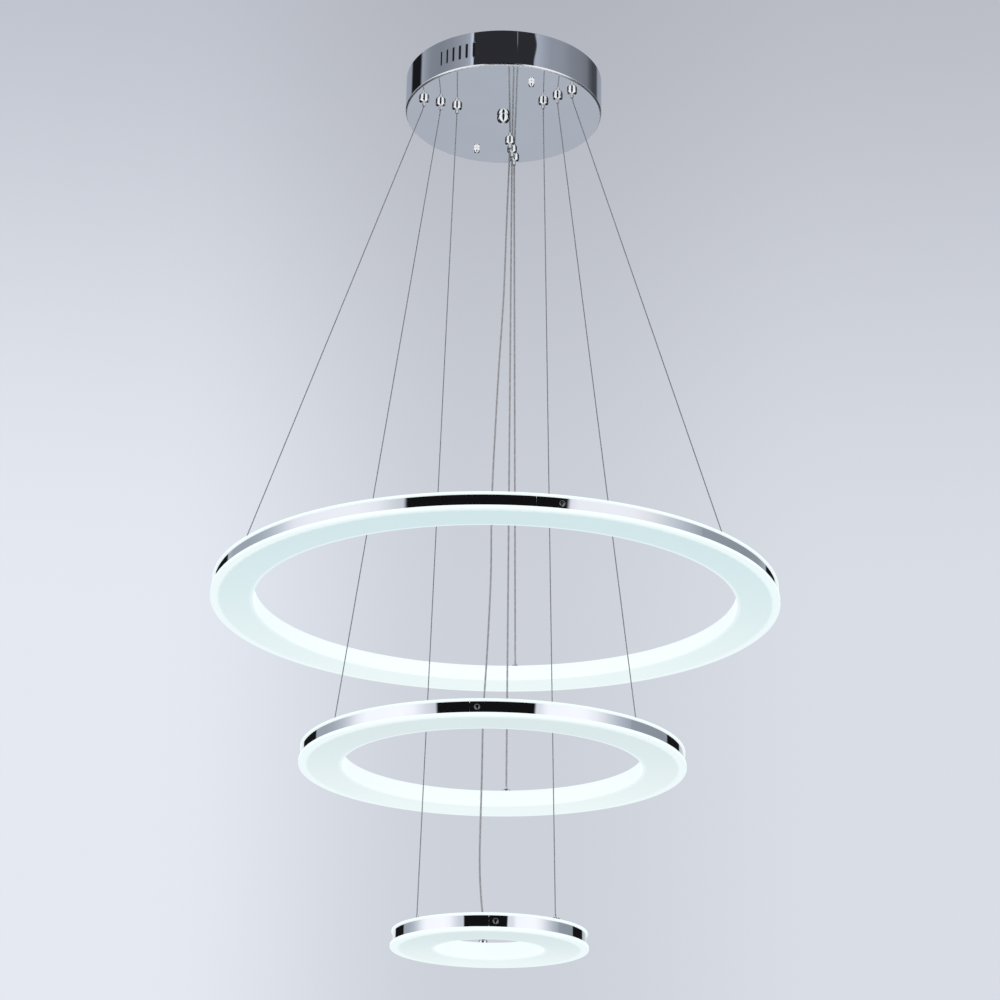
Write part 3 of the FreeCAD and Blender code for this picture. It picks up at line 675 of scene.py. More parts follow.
punch = vent_tree.add(
    "GeometryNodeCurveToMesh", sockets={"Curve": punch_path, "Profile Curve": slot_line, "Fill Caps": True}
)
number = vent_tree.add("GeometryNodeInputIndex")
row = vent_tree.maths("FLOOR", number / given("count"))
slot_angle = given("first") + given("pitch") * (number - row * given("count")) + row * math.pi
level = vent_tree.add("ShaderNodeCombineXYZ", sockets={2: given("middle")})
spots = vent_tree.add("GeometryNodePoints", sockets={"Count": given("count") * 2, "Position": level})
facing = vent_tree.add("FunctionNodeAxisAngleToRotation", sockets={"Angle": slot_angle})
punches = vent_tree.add(
    "GeometryNodeInstanceOnPoints", sockets={"Points": spots, "Instance": punch, "Rotation": facing}
)
punches = vent_tree.add("GeometryNodeRealizeInstances", sockets={"Geometry": punches})
pierced = vent_tree.add(
    "GeometryNodeMeshBoolean", {"solver": "EXACT"}, {"Mesh 1": given("Geometry"), "Mesh 2": punches}
)
end_shape(vent_tree, pierced, given)

cup = turned_mesh([
    (0, UNDERSIDE), (CANOPY_RADIUS, UNDERSIDE, LIP), (CANOPY_RADIUS, 0, 0.4 * MM),
    (CANOPY_RADIUS - SHEET, 0, 0.4 * MM), (CANOPY_RADIUS - SHEET, UNDERSIDE + SHEET, LIP - SHEET),
    (0, UNDERSIDE + SHEET),
], steps=480)
HOLE_CLEARANCE, STUD_HOLE_SHARE = 0.1 * MM, 0.51
hole = pin_mesh(SHANK_RADIUS + HOLE_CLEARANCE, -5 * MM, 5 * MM, 64)
small_hole = hole.copy()
small_hole.transform(Matrix.Diagonal((STUD_HOLE_SHARE, STUD_HOLE_SHARE, 1, 1)))
shank_spots = [(0, 0), *(gripper_spot(ring, side) for ring in RINGS for side in SIDES)]
cup = carve(add_piece("cup", cup), [
    *((hole, at(*spot, UNDERSIDE)) for spot in shank_spots),
    *((small_hole, stud_place(sign, UNDERSIDE)) for sign in (1, -1)),
])
canopy = grow(
    "canopy_shell", vent_tree, taken(cup), radius=CANOPY_RADIUS, middle=UNDERSIDE / 2,
    first=FIRST_SLOT, pitch=SLOT_PITCH, count=SLOT_COUNT, finish=canopy_finish,
)
fit(canopy, "canopy_assembly", "canopy_chrome", "canopy")


# ---------------------------------------------------------------- cap nuts, centre ball, shank nuts
# Two chromed cap nuts on the studs hold the canopy up. The ball at its centre is turned, with a
# threaded shank, and plain hexagon nuts inside the canopy hold it and the nine grippers.
fitting_finish = chrome_finish("fitting_chrome", 0.003 * MM)


def nut_mesh(corner_radius, bore_radius, height, dome=0.0):
    """A hexagon nut on Z = 0 with turned-off corners; a dome above it makes it a cap nut."""
    blank = add_piece("nut", plate_mesh([circle(corner_radius, steps=6)], height, 0.02 * MM))
    blank.data.transform(Matrix.Translation((0, 0, height)))
    flat = corner_radius * math.cos(math.pi / 6)
    drop = (corner_radius - flat) * 0.6
    widest = corner_radius * 0.99
    barrel = turned_mesh([
        (0, -1 * MM), (flat * 0.98, -1 * MM), (flat * 0.98, 0), (widest, drop),
        (widest, height - drop), (flat * 0.98, height), (flat * 0.98, height + 1 * MM),
        (0, height + 1 * MM),
    ], 48)
    carve(blank, [(barrel, Matrix())], "INTERSECT")
    if dome:
        base, peak = height - 0.5 * MM, height + dome
        cap = turned_mesh([(0, base), (dome, base), (dome, peak, dome * 0.999), (0, peak)], 48)
        blank = joined("cap", [(taken(blank), Matrix(), 0), (cap, Matrix(), 0)])
        return taken(blank)
    bore = pin_mesh(bore_radius, -1 * MM, height + 1 * MM)
    return taken(carve(blank, [(bore, Matrix())]))


def upside_down(mesh):
    turned = mesh.copy()
    turned.transform(Matrix.Rotation(math.pi, 4, "X"))
    return turned


CAP_NUT_CORNER, CAP_NUT_HEIGHT, CAP_NUT_DOME = 3.9 * MM, 3.4 * MM, 3.37 * MM
CAP_NUT_TURN = math.radians(30)
cap_nut = upside_down(nut_mesh(CAP_NUT_CORNER, 0, CAP_NUT_HEIGHT, dome=CAP_NUT_DOME))
cap_nut.transform(Matrix.Rotation(CAP_NUT_TURN, 4, "Z"))
nut_pair = [(cap_nut, stud_place(sign, UNDERSIDE), 0) for sign in (1, -1)]
cap_nuts = joined("cap_nut_pair", nut_pair, fitting_finish)
fit(cap_nuts, "canopy_assembly", "fitting_chrome", "cap_nuts")

SHANK_HEIGHT = 12 * MM
shank = rod_mesh(SHANK_RADIUS, SHANK_HEIGHT, 1.0 * MM)
BALL_RADIUS, BALL_DROP = 7.5 * MM, 2.6 * MM
ball_top = math.asin(BALL_DROP / BALL_RADIUS)
ball_steps = 28
ball_line = [
    (BALL_RADIUS * math.cos(a), BALL_RADIUS * math.sin(a) - BALL_DROP)
    for a in (ball_top - (math.pi / 2 + ball_top) * step / ball_steps for step in range(ball_steps))
]
ball = turned_mesh([(0, 0), *ball_line, (0, -BALL_RADIUS - BALL_DROP)], 72)
knob = joined("ball_knob", [(ball, at(0, 0, UNDERSIDE), 0), (shank, at(0, 0, UNDERSIDE), 0)], fitting_finish)
fit(knob, "canopy_assembly", "fitting_chrome", "centre_ball")

NUT_CORNER, NUT_HEIGHT = 7.0 * MM, 3.0 * MM
shank_nut = nut_mesh(NUT_CORNER, SHANK_RADIUS, NUT_HEIGHT)
NUT_TURN = 0.7
shank_nuts = joined("hexagon_nuts", [
    (shank_nut, at(*spot, UNDERSIDE + SHEET, NUT_TURN * i), 0) for i, spot in enumerate(shank_spots)
], zinc)
fit(shank_nuts, "canopy_assembly", "zinc_steel", "shank_nuts")


# ---------------------------------------------------------------- cable grippers
# A turned and chromed body under the sheet, with a threaded shank above it. A sprung nozzle slides in
# its bore: pressed up, it frees the jaws inside, and the line runs through to set the ring's height.
GRIPPER_RADIUS, GRIPPER_DEPTH = 5.75 * MM, 6.0 * MM
NOZZLE_RADIUS = 1.9 * MM
WIRE_RADIUS, CORD_RADIUS = 0.6 * MM, 1.1 * MM
gripper_head = turned_mesh([
    (NOZZLE_RADIUS + 0.05 * MM, -0.3 * MM), (NOZZLE_RADIUS + 0.05 * MM, -GRIPPER_DEPTH, 0.25 * MM),
    (GRIPPER_RADIUS, -GRIPPER_DEPTH, 3.6 * MM), (GRIPPER_RADIUS, -1.15 * MM, 0.1 * MM),
    (GRIPPER_RADIUS - 0.35 * MM, -0.95 * MM, 0.1 * MM), (GRIPPER_RADIUS - 0.35 * MM, -0.75 * MM, 0.1 * MM),
    (GRIPPER_RADIUS, -0.55 * MM, 0.1 * MM), (GRIPPER_RADIUS, 0), (NOZZLE_RADIUS + 0.05 * MM, 0),
], 72, ring=True)
for ring in RINGS:
    for side in SIDES:
        place = at(*gripper_spot(ring, side), UNDERSIDE)
        parts = [(gripper_head, place, 0), (shank, place, 0)]
        gripper = joined("%s_%s_gripper" % (ring, side), parts, fitting_finish)
        fit(gripper, "canopy_assembly", "fitting_chrome", "gripper_%s_%s" % (ring, side))

        line_radius = CORD_RADIUS if side == "far" else WIRE_RADIUS
        low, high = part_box("nozzle_%s_%s" % (ring, side))
        bore = line_radius + 0.3 * MM
        waist = NOZZLE_RADIUS - 0.2 * MM
        flare = min(bore + 0.35 * MM, waist)
        tip, top = low.z - UNDERSIDE, high.z - UNDERSIDE
        collar, collar_radius = top - 1.5 * MM, high.x - (low.x + high.x) / 2
        nozzle = turned_mesh([
            (bore, top), (bore, tip + 1.6 * MM), (flare, tip, 0.05 * MM), (NOZZLE_RADIUS, tip, 0.1 * MM),
            (NOZZLE_RADIUS, tip + 1.0 * MM, 0.1 * MM), (waist, tip + 1.2 * MM), (waist, tip + 1.5 * MM),
            (NOZZLE_RADIUS, tip + 1.7 * MM, 0.1 * MM), (NOZZLE_RADIUS, collar), (collar_radius, collar),
            (collar_radius, top),
        ], 48, ring=True)
        nozzle.transform(place)
        nozzle_name = "nozzle_%s_%s" % (ring, side)
        piece = add_piece("%s_%s_nozzle" % (ring, side), nozzle, fitting_finish)
        fit(piece, nozzle_name, "fitting_chrome", nozzle_name)


# ---------------------------------------------------------------- wires and power cords
# Each ring hangs by two thin steel wires and a clear power cord that carries its current. They stand
# upright in their grippers and then run straight to the ring; only the small ring's cord is slack.
RING_WIDTH = 45 * MM
FITTING_HEIGHT = 10 * MM
FITTING_ANGLES = {"large": (85, 199, 325), "medium": (85, 206, 323), "small": (95, 200, 327)}
INSIDE = 14.6 * MM
MOUTH = UNDERSIDE - 10.6 * MM
SLACK_LEAD = 17 * MM
SLACK_ROUTE = [
    (7.4, 57.1, 84), (6.0, 58.6, 130), (5.0, 60.3, 184), (3.9, 61.9, 240), (1.2, 63.1, 296),
    (-1.4, 64.5, 351), (-3.3, 66.3, 406), (-5.2, 68.0, 461), (-6.0, 69.3, 516), (-5.0, 70.4, 571),
    (-6.5, 71.9, 626), (-8.5, 73.6, 680), (-11.3, 74.7, 734), (-11.0, 75.3, 789),
    (-11.6, 76.2, 843), (-12.1, 77.2, 893), (-9.9, 77.6, 930),
]


def fitting_spot(ring, side):
    """Where a wire ends on its ring: in the middle of the ring's width."""
    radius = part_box(ring + "_bottom_plate")[1].x - RING_WIDTH / 2
    return spoke(radius, math.radians(FITTING_ANGLES[ring][SIDES.index(side)]))


def ring_top(ring):
    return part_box(ring + "_top_plate")[1].z


def line_route(ring, side):
    """The control points of a line, from inside its gripper to the fitting on its ring."""
    mouth = Vector((*gripper_spot(ring, side), MOUTH))
    tip = Vector((*fitting_spot(ring, side), ring_top(ring) + FITTING_HEIGHT))
    top = mouth + Vector((0, 0, INSIDE))
    if (ring, side) == ("small", "far"):
        slack = [Vector((x * MM, y * MM, -z * MM)) for x, y, z in SLACK_ROUTE]
        return [top, top - Vector((0, 0, SLACK_LEAD)), *slack, tip + Vector((0, 0, SLACK_LEAD)), tip]
    return [top, mouth, mouth + (tip - mouth).normalized() * INSIDE, tip]


def read_route(points):
    """The smooth line of a route, as a mesh of points read off its NURBS spline."""
    curve = bpy.data.curves.new("route", "CURVE")
    curve.dimensions = "3D"
    curve.resolution_u = 12
    spline = curve.splines.new("NURBS")
    spline.points.add(len(points) - 1)
    for control, place in zip(spline.points, points):
        control.co = (*place, 1)
    spline.order_u = 3
    spline.use_endpoint_u = True
    return bpy.data.meshes.new_from_object(bpy.data.objects.new("route", curve))


# Strands laid round a core along a route; a single strand round no core is a plain tube.
lay_tree, given = shape_tree(
    "laid_strands", strands="Int", strand_radius="Float", core_radius="Float", lay="Float",
    step="Float", sides="Int",
)
route = lay_tree.add("GeometryNodeMeshToCurve", sockets={"Mesh": given("Geometry")})
route = lay_tree.add(
    "GeometryNodeResampleCurve", {"mode": "LENGTH"}, {"Curve": route, "Length": given("step")}
)
twist = lay_tree.add("GeometryNodeSplineParameter", output="Length") * (2 * math.pi) / given("lay")
route = lay_tree.add("GeometryNodeSetCurveTilt", sockets={"Curve": route, "Tilt": twist})
strand_turn = lay_tree.add("GeometryNodeInputIndex") * (2 * math.pi) / given("strands")
strand_spot = lay_tree.add("ShaderNodeCombineXYZ", sockets={
    0: lay_tree.maths("COSINE", strand_turn) * given("core_radius"),
    1: lay_tree.maths("SINE", strand_turn) * given("core_radius"),
})
strand_spots = lay_tree.add(
    "GeometryNodePoints", sockets={"Count": given("strands"), "Position": strand_spot}
)
strand = lay_tree.add("GeometryNodeCurvePrimitiveCircle", sockets={
    "Resolution": given("sides"), "Radius": given("strand_radius"),
})
section = lay_tree.add("GeometryNodeInstanceOnPoints", sockets={"Points": strand_spots, "Instance": strand})
section = lay_tree.add("GeometryNodeRealizeInstances", sockets={"Geometry": section})
laid = lay_tree.add(
    "GeometryNodeCurveToMesh", sockets={"Curve": route, "Profile Curve": section, "Fill Caps": True}
)
end_shape(lay_tree, laid, given)

wire_finish, tree = new_finish("steel_wire")
wire_wear = grain(tree, 900, 2.0)
sockets = {"Base Color": tree.mix(wire_wear, (0.48, 0.485, 0.5), (0.56, 0.565, 0.58)), "Metallic": 0.8}
coat(tree, {**sockets, "Roughness": 0.5 + 0.1 * wire_wear, "Normal": bump(tree, wire_wear, 0.01 * MM)})

sheath_finish, tree = new_finish("clear_sheath")
cloudy = grain(tree, 60, 2.0)
sheath_colour = tree.mix(cloudy, paint(176, 174, 178), paint(196, 193, 194))
sockets = {"Base Color": sheath_colour, "Roughness": 0.2 + 0.15 * cloudy}
coat(tree, {**sockets, "Alpha": 0.42 + 0.12 * cloudy, "Specular IOR Level": 0.5})

core_finish, tree = new_finish("tinned_copper")
core_wear = grain(tree, 1500, 2.0)
sockets = {"Base Color": tree.mix(core_wear, (0.46, 0.44, 0.43), (0.6, 0.57, 0.55)), "Metallic": 1.0}
coat(tree, {**sockets, "Roughness": 0.3 + 0.15 * core_wear})

for ring in RINGS:
    joint = ring + "_ring_height"
    travel = next(j for j in frame["joints"] if j["name"] == joint)["range_m"][1]
    keep = 1 - travel / (MOUTH - ring_top(ring) - FITTING_HEIGHT)
    for side in SIDES:
        is_cord = side == "far"
        route_points = line_route(ring, side)
        path = read_route(route_points)
        if is_cord:
            node, radius, slot = ring + "_power_cord", CORD_RADIUS, "clear_cord"
            piece = grow(
                ring + "_cord_sheath", lay_tree, path, strands=1, strand_radius=radius, core_radius=0.0,
                lay=1.0, step=5 * MM, sides=20, finish=sheath_finish,
            )
            cores = grow(
                ring + "_cord_cores", lay_tree, read_route(route_points), strands=2, strand_radius=0.36 * MM,
                core_radius=0.4 * MM, lay=22 * MM, step=1.8 * MM, sides=8, finish=core_finish,
            )
            fit(cores, "canopy_assembly", slot)
            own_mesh(cores)
        else:
            node, radius, slot = "%s_wire_%s" % (ring, side), WIRE_RADIUS, "steel_wire"
            piece = grow(
                "%s_%s_wire" % (ring, side), lay_tree, path, strands=6, strand_radius=radius / 3,
                core_radius=radius * 2 / 3, lay=9 * MM, step=0.9 * MM, sides=6, finish=wire_finish,
            )
        fit(piece, "canopy_assembly", slot, node)
        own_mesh(piece)


# ---------------------------------------------------------------- frosted plates and walls
# Each ring is a closed channel of frosted acrylic: a thick plate underneath, a thinner one on top, and
# an upright wall round the hole between them. The light of its LED strip is painted into their emission,
# brightest at the rim.
def swept_section():
    """A tree that sweeps an upright rectangle with round edges along a circle or a part of one."""
    tree, given = shape_tree(
        "swept_section", inner="Float", outer="Float", low="Float", high="Float", edge="Float",
        first="Float", sweep="Float", steps="Int", closed="Bool",
    )
    middle = (given("inner") + given("outer")) / 2
    ends = {"Resolution": given("steps"), "Radius": middle}
    whole = tree.add("GeometryNodeCurvePrimitiveCircle", sockets=ends)
    part = tree.add("GeometryNodeCurveArc", sockets={
        **ends, "Start Angle": given("first"), "Sweep Angle": given("sweep"),
    })
    path = tree.add("GeometryNodeSwitch", {"input_type": "GEOMETRY"}, {
        "Switch": given("closed"), "False": part, "True": whole,
    })
    path = tree.add("GeometryNodeSetCurveNormal", {"mode": "Z_UP"}, {"Curve": path})
    section = tree.add("GeometryNodeCurvePrimitiveQuadrilateral", sockets={
        "Width": given("outer") - given("inner"), "Height": given("high") - given("low"),
    })
    section = tree.add(
        "GeometryNodeFilletCurve", {"mode": "POLY"}, {"Curve": section, "Count": 3, "Radius": given("edge")}
    )
    swept = tree.add(
        "GeometryNodeCurveToMesh", sockets={"Curve": path, "Profile Curve": section, "Fill Caps": True}
    )
    lift = tree.add("ShaderNodeCombineXYZ", sockets={2: (given("low") + given("high")) / 2})
    end_shape(tree, tree.add("GeometryNodeSetPosition", sockets={"Geometry": swept, "Offset": lift}), given)
    return tree


section_tree = swept_section()
BOTTOM_PLATE, BAND_HEIGHT, TOP_PLATE = 4.0 * MM, 11.5 * MM, 2.5 * MM
INNER_WALL = 3.0 * MM
COVER_INSET = 1.2 * MM
FITTING_SHANK = 2.5 * MM


def frosted_finish(name, near, far, radius, rim_glow):
    """Frosted acrylic with its inner light painted in as emission: brighter at its far side, at its rim and
    at the hole's edge.
    """
    material, tree = new_finish(name)
    x, y, z = tree.coordinates()
    reach = tree.maths("SQRT", x * x + y * y)
    from_rim = (radius - reach) / MM
    # Painted light: the glow is an emission colour, brighter towards the far side, in a rim band that is
    # wider at the left and right and scalloped at each LED, and paler at the hole's edge.
    glow = tree.mix(y.step(-1.1 * radius, 1.5 * radius), near, far)
    lamp_steps = tree.maths("SINE", tree.maths("ARCTAN2", y, x) * round(2 * math.pi * radius / LED_PITCH))
    sideways = tree.maths("ABSOLUTE", x).step(0.3 * radius, 0.95 * radius)
    rim = 1 - from_rim.step(0.5 + 6 * sideways + 0.3 * lamp_steps, 8.5 + 2 * sideways + 0.3 * lamp_steps)
    edge = tree.maths("MAXIMUM", rim, 0.6 * from_rim.step(40.5, 43.0))
    glow = tree.mix(edge, glow, rim_glow)
    cloud = grain(tree, 16, 2.0)
    glow = tree.mix(0.04 * cloud, glow, grey(0.62))
    frost = grain(tree, 1400, 2.0)
    base = tree.mix(frost, (0.24, 0.25, 0.26), (0.28, 0.29, 0.3))
    sockets = {"Base Color": base, "Roughness": 0.42 + 0.12 * frost, "Specular IOR Level": 0.3}
    sockets |= {"Emission Color": glow, "Emission Strength": 1.0}
    coat(tree, {**sockets, "Normal": bump(tree, frost, 0.01 * MM)})
    return material


# Painted glow colours: the rim's and the wall's, and below them each plate's near side, which is dimmer than
# its far side.
RIM_GLOW, WALL_GLOW = (0.72, 0.8, 0.79), (0.72, 0.775, 0.785)
LED_PITCH = 16.6 * MM
for ring in RINGS:
    body = ring + "_ring"
    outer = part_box(ring + "_bottom_plate")[1].x
    inner = outer - RING_WIDTH
    underside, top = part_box(ring + "_bottom_plate")[0].z, ring_top(ring)
    band_low, band_high = underside + BOTTOM_PLATE, underside + BOTTOM_PLATE + BAND_HEIGHT
    steps = 540 if ring == "large" else 360
    turned = {"steps": steps, "closed": True}

    near_glow = (0.5, 0.63, 0.635) if ring == "large" else (0.56, 0.645, 0.635)
    finish = frosted_finish(ring + "_frosted_underside", near_glow, (0.735, 0.8, 0.775), outer, RIM_GLOW)
    plate = grow(
        ring + "_lower_plate", section_tree, inner=inner, outer=outer, low=underside, high=band_low,
        edge=0.6 * MM, finish=finish, **turned,
    )
    fit(plate, body, "frosted_underside", ring + "_bottom_plate")

    finish = frosted_finish(ring + "_frosted_wall", (0.62, 0.69, 0.71), WALL_GLOW, outer, WALL_GLOW)
    wall = grow(
        ring + "_hole_wall", section_tree, inner=inner, outer=inner + INNER_WALL, low=band_low,
        high=band_high, edge=0.05 * MM, finish=finish, **turned,
    )
    fit(wall, body, "frosted_wall", ring + "_inner_wall")

    finish = frosted_finish(ring + "_frosted_top", (0.6, 0.68, 0.68), (0.66, 0.72, 0.71), outer, RIM_GLOW)
    cover = grow(
        ring + "_cover_plate", section_tree, inner=inner, outer=outer - COVER_INSET, low=band_high, high=top,
        edge=0.5 * MM, finish=finish, **turned,
    )
    drill = pin_mesh(FITTING_SHANK + HOLE_CLEARANCE, -5 * MM, 5 * MM)
    carve(cover, [(drill, at(*fitting_spot(ring, side), top)) for side in SIDES])
    fit(cover, body, "frosted_top", ring + "_top_plate")


# ---------------------------------------------------------------- chrome bands and their seams
# A strip of polished stainless steel is bent round each ring and its ends meet in a fine seam. A
# splice plate behind the seam takes a domed screw with a cross recess, which pulls the strip tight.
SEAM_ANGLES = {"large": 277.3, "medium": 263.4, "small": 269.6}
SCREW_OFFSETS = {"large": 25.0 * MM, "medium": 7.3 * MM, "small": 6.5 * MM}
BAND_INSET, BAND_SHEET = 2.6 * MM, 1.0 * MM
SEAM_GAP = 0.35 * MM
SPLICE_LAP, SPLICE_END = 12 * MM, 6 * MM
SPLICE_HEIGHT, SPLICE_SHEET = 9 * MM, 1.2 * MM
SCREW_HOLE = 1.25 * MM
band_finish = chrome_finish("band_chrome", 0.012 * MM)
screw_finish = chrome_finish("screw_steel", 0.003 * MM, tone=0.2)


def screw_mesh(radius, dome, shank_radius, shank, recess, slots):
    """A domed screw head on Z = 0 with a slot, or a cross of two, and a plain shank below it."""
    arch = [i * math.pi / 16 for i in range(8)]
    head = turned_mesh([
        (0, -shank), (shank_radius, -shank, 0.2 * MM), (shank_radius, 0), (radius, 0),
        *((radius * math.cos(a), dome * (0.2 + 0.8 * math.sin(a))) for a in arch), (0, dome),
    ], 40)
    blade = plate_mesh([rounded_box(radius * 1.1, recess, recess * 0.3, 3)], dome, 0.02 * MM)
    screw = add_piece("screw", head)
    for slot in range(slots):
        carve(screw, [(blade, at(0, 0, dome * 1.35, slot * math.pi / slots))])
    return taken(screw)


seam_screw = screw_mesh(2.9 * MM, 1.7 * MM, SCREW_HOLE - 0.05 * MM, 3.5 * MM, 0.75 * MM, 2)
for ring in RINGS:
    body = ring + "_ring"
    band_low, band_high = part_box(ring + "_band")[0].z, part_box(ring + "_band")[1].z
    middle = (band_low + band_high) / 2
    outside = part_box(ring + "_bottom_plate")[1].x - BAND_INSET
    inside = outside - BAND_SHEET
    seam = math.radians(SEAM_ANGLES[ring])
    screw_angle = seam + SCREW_OFFSETS[ring] / outside
    drill = pin_mesh(SCREW_HOLE, -9 * MM, 9 * MM, 24)
    facing = at(0, 0, middle, screw_angle) @ at(outside, 0, 0) @ Matrix.Rotation(math.pi / 2, 4, "Y")

    steps = 540 if ring == "large" else 360
    band = grow(
        ring + "_chrome_strip", section_tree, inner=inside, outer=outside, low=band_low, high=band_high,
        edge=0.12 * MM, first=seam + SEAM_GAP / 2 / outside, sweep=2 * math.pi - SEAM_GAP / outside,
        steps=steps, closed=False, finish=band_finish,
    )
    carve(band, [(drill, facing)])
    fit(band, body, "band_chrome", ring + "_band")

    lap, reach = SPLICE_LAP / inside, (screw_angle - seam) + SPLICE_END / inside
    splice = grow(
        ring + "_joint_plate", section_tree, inner=inside - SPLICE_SHEET, outer=inside,
        low=middle - SPLICE_HEIGHT / 2, high=middle + SPLICE_HEIGHT / 2, edge=0.2 * MM,
        first=seam - lap, sweep=lap + reach, steps=40, closed=False, finish=zinc,
    )
    carve(splice, [(drill, facing)])
    fit(splice, body, "zinc_steel", ring + "_splice_plate")

    screw = joined(ring + "_seam_screw", [(seam_screw, facing, 0)], screw_finish)
    fit(screw, body, "fitting_chrome")


# ---------------------------------------------------------------- LED strips
# A white flexible strip lies inside each band, from one end of the splice plate round to the other.
# Small square LEDs with a yellow phosphor face the ring's hole, at an even pitch.
tape_finish, tree = new_finish("white_tape")
tape_wear = grain(tree, 500, 2.0)
tape_colour = tree.mix(tape_wear, (0.82, 0.82, 0.79), (0.88, 0.88, 0.86))
coat(tree, {"Base Color": tape_colour, "Roughness": 0.38 + 0.1 * tape_wear})

package_finish, tree = new_finish("led_package")
package_wear = grain(tree, 2500, 2.0)
package_colour = tree.mix(package_wear, (0.8, 0.8, 0.77), (0.86, 0.86, 0.84))
coat(tree, {"Base Color": package_colour, "Roughness": 0.3 + 0.1 * package_wear})

phosphor_finish, tree = new_finish("led_phosphor")
phosphor_grain = grain(tree, 4000, 2.0)
coat(tree, {
    "Base Color": tree.mix(phosphor_grain, (0.8, 0.62, 0.08), (0.88, 0.74, 0.16)),
    "Roughness": 0.35 + 0.15 * phosphor_grain, "Normal": bump(tree, phosphor_grain, 0.02 * MM),
})

LED_LENGTH, LED_WIDTH, LED_THICKNESS = 3.5 * MM, 2.8 * MM, 0.7 * MM
STRIP_HEIGHT, STRIP_THICKNESS, STRIP_GAP = 8 * MM, 0.5 * MM, 1.0 * MM
package = plate_mesh([rounded_box(LED_LENGTH, LED_WIDTH, 0.3 * MM, 2)], LED_THICKNESS, 0.08 * MM)
pool = turned_mesh([(0, -0.2 * MM), (1.05 * MM, -0.2 * MM), (1.05 * MM, 0.02 * MM), (0, 0.05 * MM)], 16)
to_hole = Matrix.Translation((-LED_THICKNESS, 0, 0)) @ Matrix.Rotation(-math.pi / 2, 4, "Y")
led = joined("led", [(package, to_hole, 0), (pool, to_hole, 1)], package_finish, phosphor_finish)
led_mesh = taken(led)

led_tree, given = shape_tree(
    "led_row", radius="Float", level="Float", first="Float", pitch="Float", count="Int"
)
led_angle = given("first") + led_tree.add("GeometryNodeInputIndex") * given("pitch") / given("radius")
led_spot = led_tree.add("ShaderNodeCombineXYZ", sockets={
    0: led_tree.maths("COSINE", led_angle) * given("radius"),
    1: led_tree.maths("SINE", led_angle) * given("radius"), 2: given("level"),
})
led_spots = led_tree.add("GeometryNodePoints", sockets={"Count": given("count"), "Position": led_spot})
led_turn = led_tree.add("FunctionNodeAxisAngleToRotation", sockets={"Angle": led_angle})
leds = led_tree.add("GeometryNodeInstanceOnPoints", sockets={
    "Points": led_spots, "Instance": given("Geometry"), "Rotation": led_turn,
})
led_tree.add("NodeGroupOutput", sockets={
    "Geometry": led_tree.add("GeometryNodeRealizeInstances", sockets={"Geometry": leds}),
})

for ring in RINGS:
    low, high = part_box(ring + "_led_strip")
    middle = (low.z + high.z) / 2
    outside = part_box(ring + "_bottom_plate")[1].x - BAND_INSET - BAND_SHEET
    seam = math.radians(SEAM_ANGLES[ring])
    before = (SPLICE_LAP + STRIP_GAP) / outside
    after = SCREW_OFFSETS[ring] / (outside + BAND_SHEET) + (SPLICE_END + STRIP_GAP) / outside
    tape = grow(
        "tape", section_tree, inner=outside - STRIP_THICKNESS, outer=outside, low=middle - STRIP_HEIGHT / 2,
        high=middle + STRIP_HEIGHT / 2, edge=0.05 * MM, first=seam + after,
        sweep=2 * math.pi - before - after, steps=300, closed=False, finish=tape_finish,
    )
    row_radius = outside - STRIP_THICKNESS
    count = int((2 * math.pi - before - after) * row_radius / LED_PITCH)
    row = grow(
        "leds", led_tree, led_mesh.copy(), radius=row_radius, level=middle,
        first=seam + after + LED_PITCH / 2 / row_radius, pitch=LED_PITCH, count=count,
    )
    strip = joined(ring + "_light_tape", [(taken(tape), Matrix(), 0)], tape_finish)
    fit(strip, ring + "_ring", "led_strip", ring + "_led_strip")
    row.name = ring + "_tape_leds"
    fit(row, ring + "_ring", "led_strip")


# ---------------------------------------------------------------- wire ends on the rings
# A small turned and chromed dome on each ring's cover plate grips the end of each wire and cord. Its
# threaded shank goes through the plate, and a nut inside the ring holds it.
FITTING_RADIUS, FITTING_DOME = 4.75 * MM, 7.5 * MM
FITTING_NUT_CORNER, FITTING_NUT_HEIGHT = 4.6 * MM, 3.0 * MM
FITTING_SHANK_LENGTH = 7 * MM
fitting_dome = turned_mesh([
    (0, 0), (FITTING_RADIUS, 0, 0.25 * MM), (FITTING_RADIUS, FITTING_DOME, 2.6 * MM),
    (1.6 * MM, FITTING_DOME), (1.6 * MM, FITTING_HEIGHT, 0.4 * MM), (0, FITTING_HEIGHT),
], 56)
fitting_shank = rod_mesh(FITTING_SHANK, FITTING_SHANK_LENGTH, 0.7 * MM)
fitting_nut = nut_mesh(FITTING_NUT_CORNER, FITTING_SHANK + 0.05 * MM, FITTING_NUT_HEIGHT)
for ring in RINGS:
    top = ring_top(ring)
    spots = [fitting_spot(ring, side) for side in SIDES]
    domes = joined(ring + "_wire_ends", [
        *((fitting_dome, at(*spot, top), 0) for spot in spots),
        *((fitting_shank, at(*spot, top - FITTING_SHANK_LENGTH), 0) for spot in spots),
    ], fitting_finish)
    fit(domes, ring + "_ring", "fitting_chrome", ring + "_fittings")
    nut_level = top - TOP_PLATE - FITTING_NUT_HEIGHT
    nuts = joined(ring + "_inner_nuts", [(fitting_nut, at(*spot, nut_level), 0) for spot in spots], zinc)
    fit(nuts, ring + "_ring", "zinc_steel", ring + "_fitting_nuts")


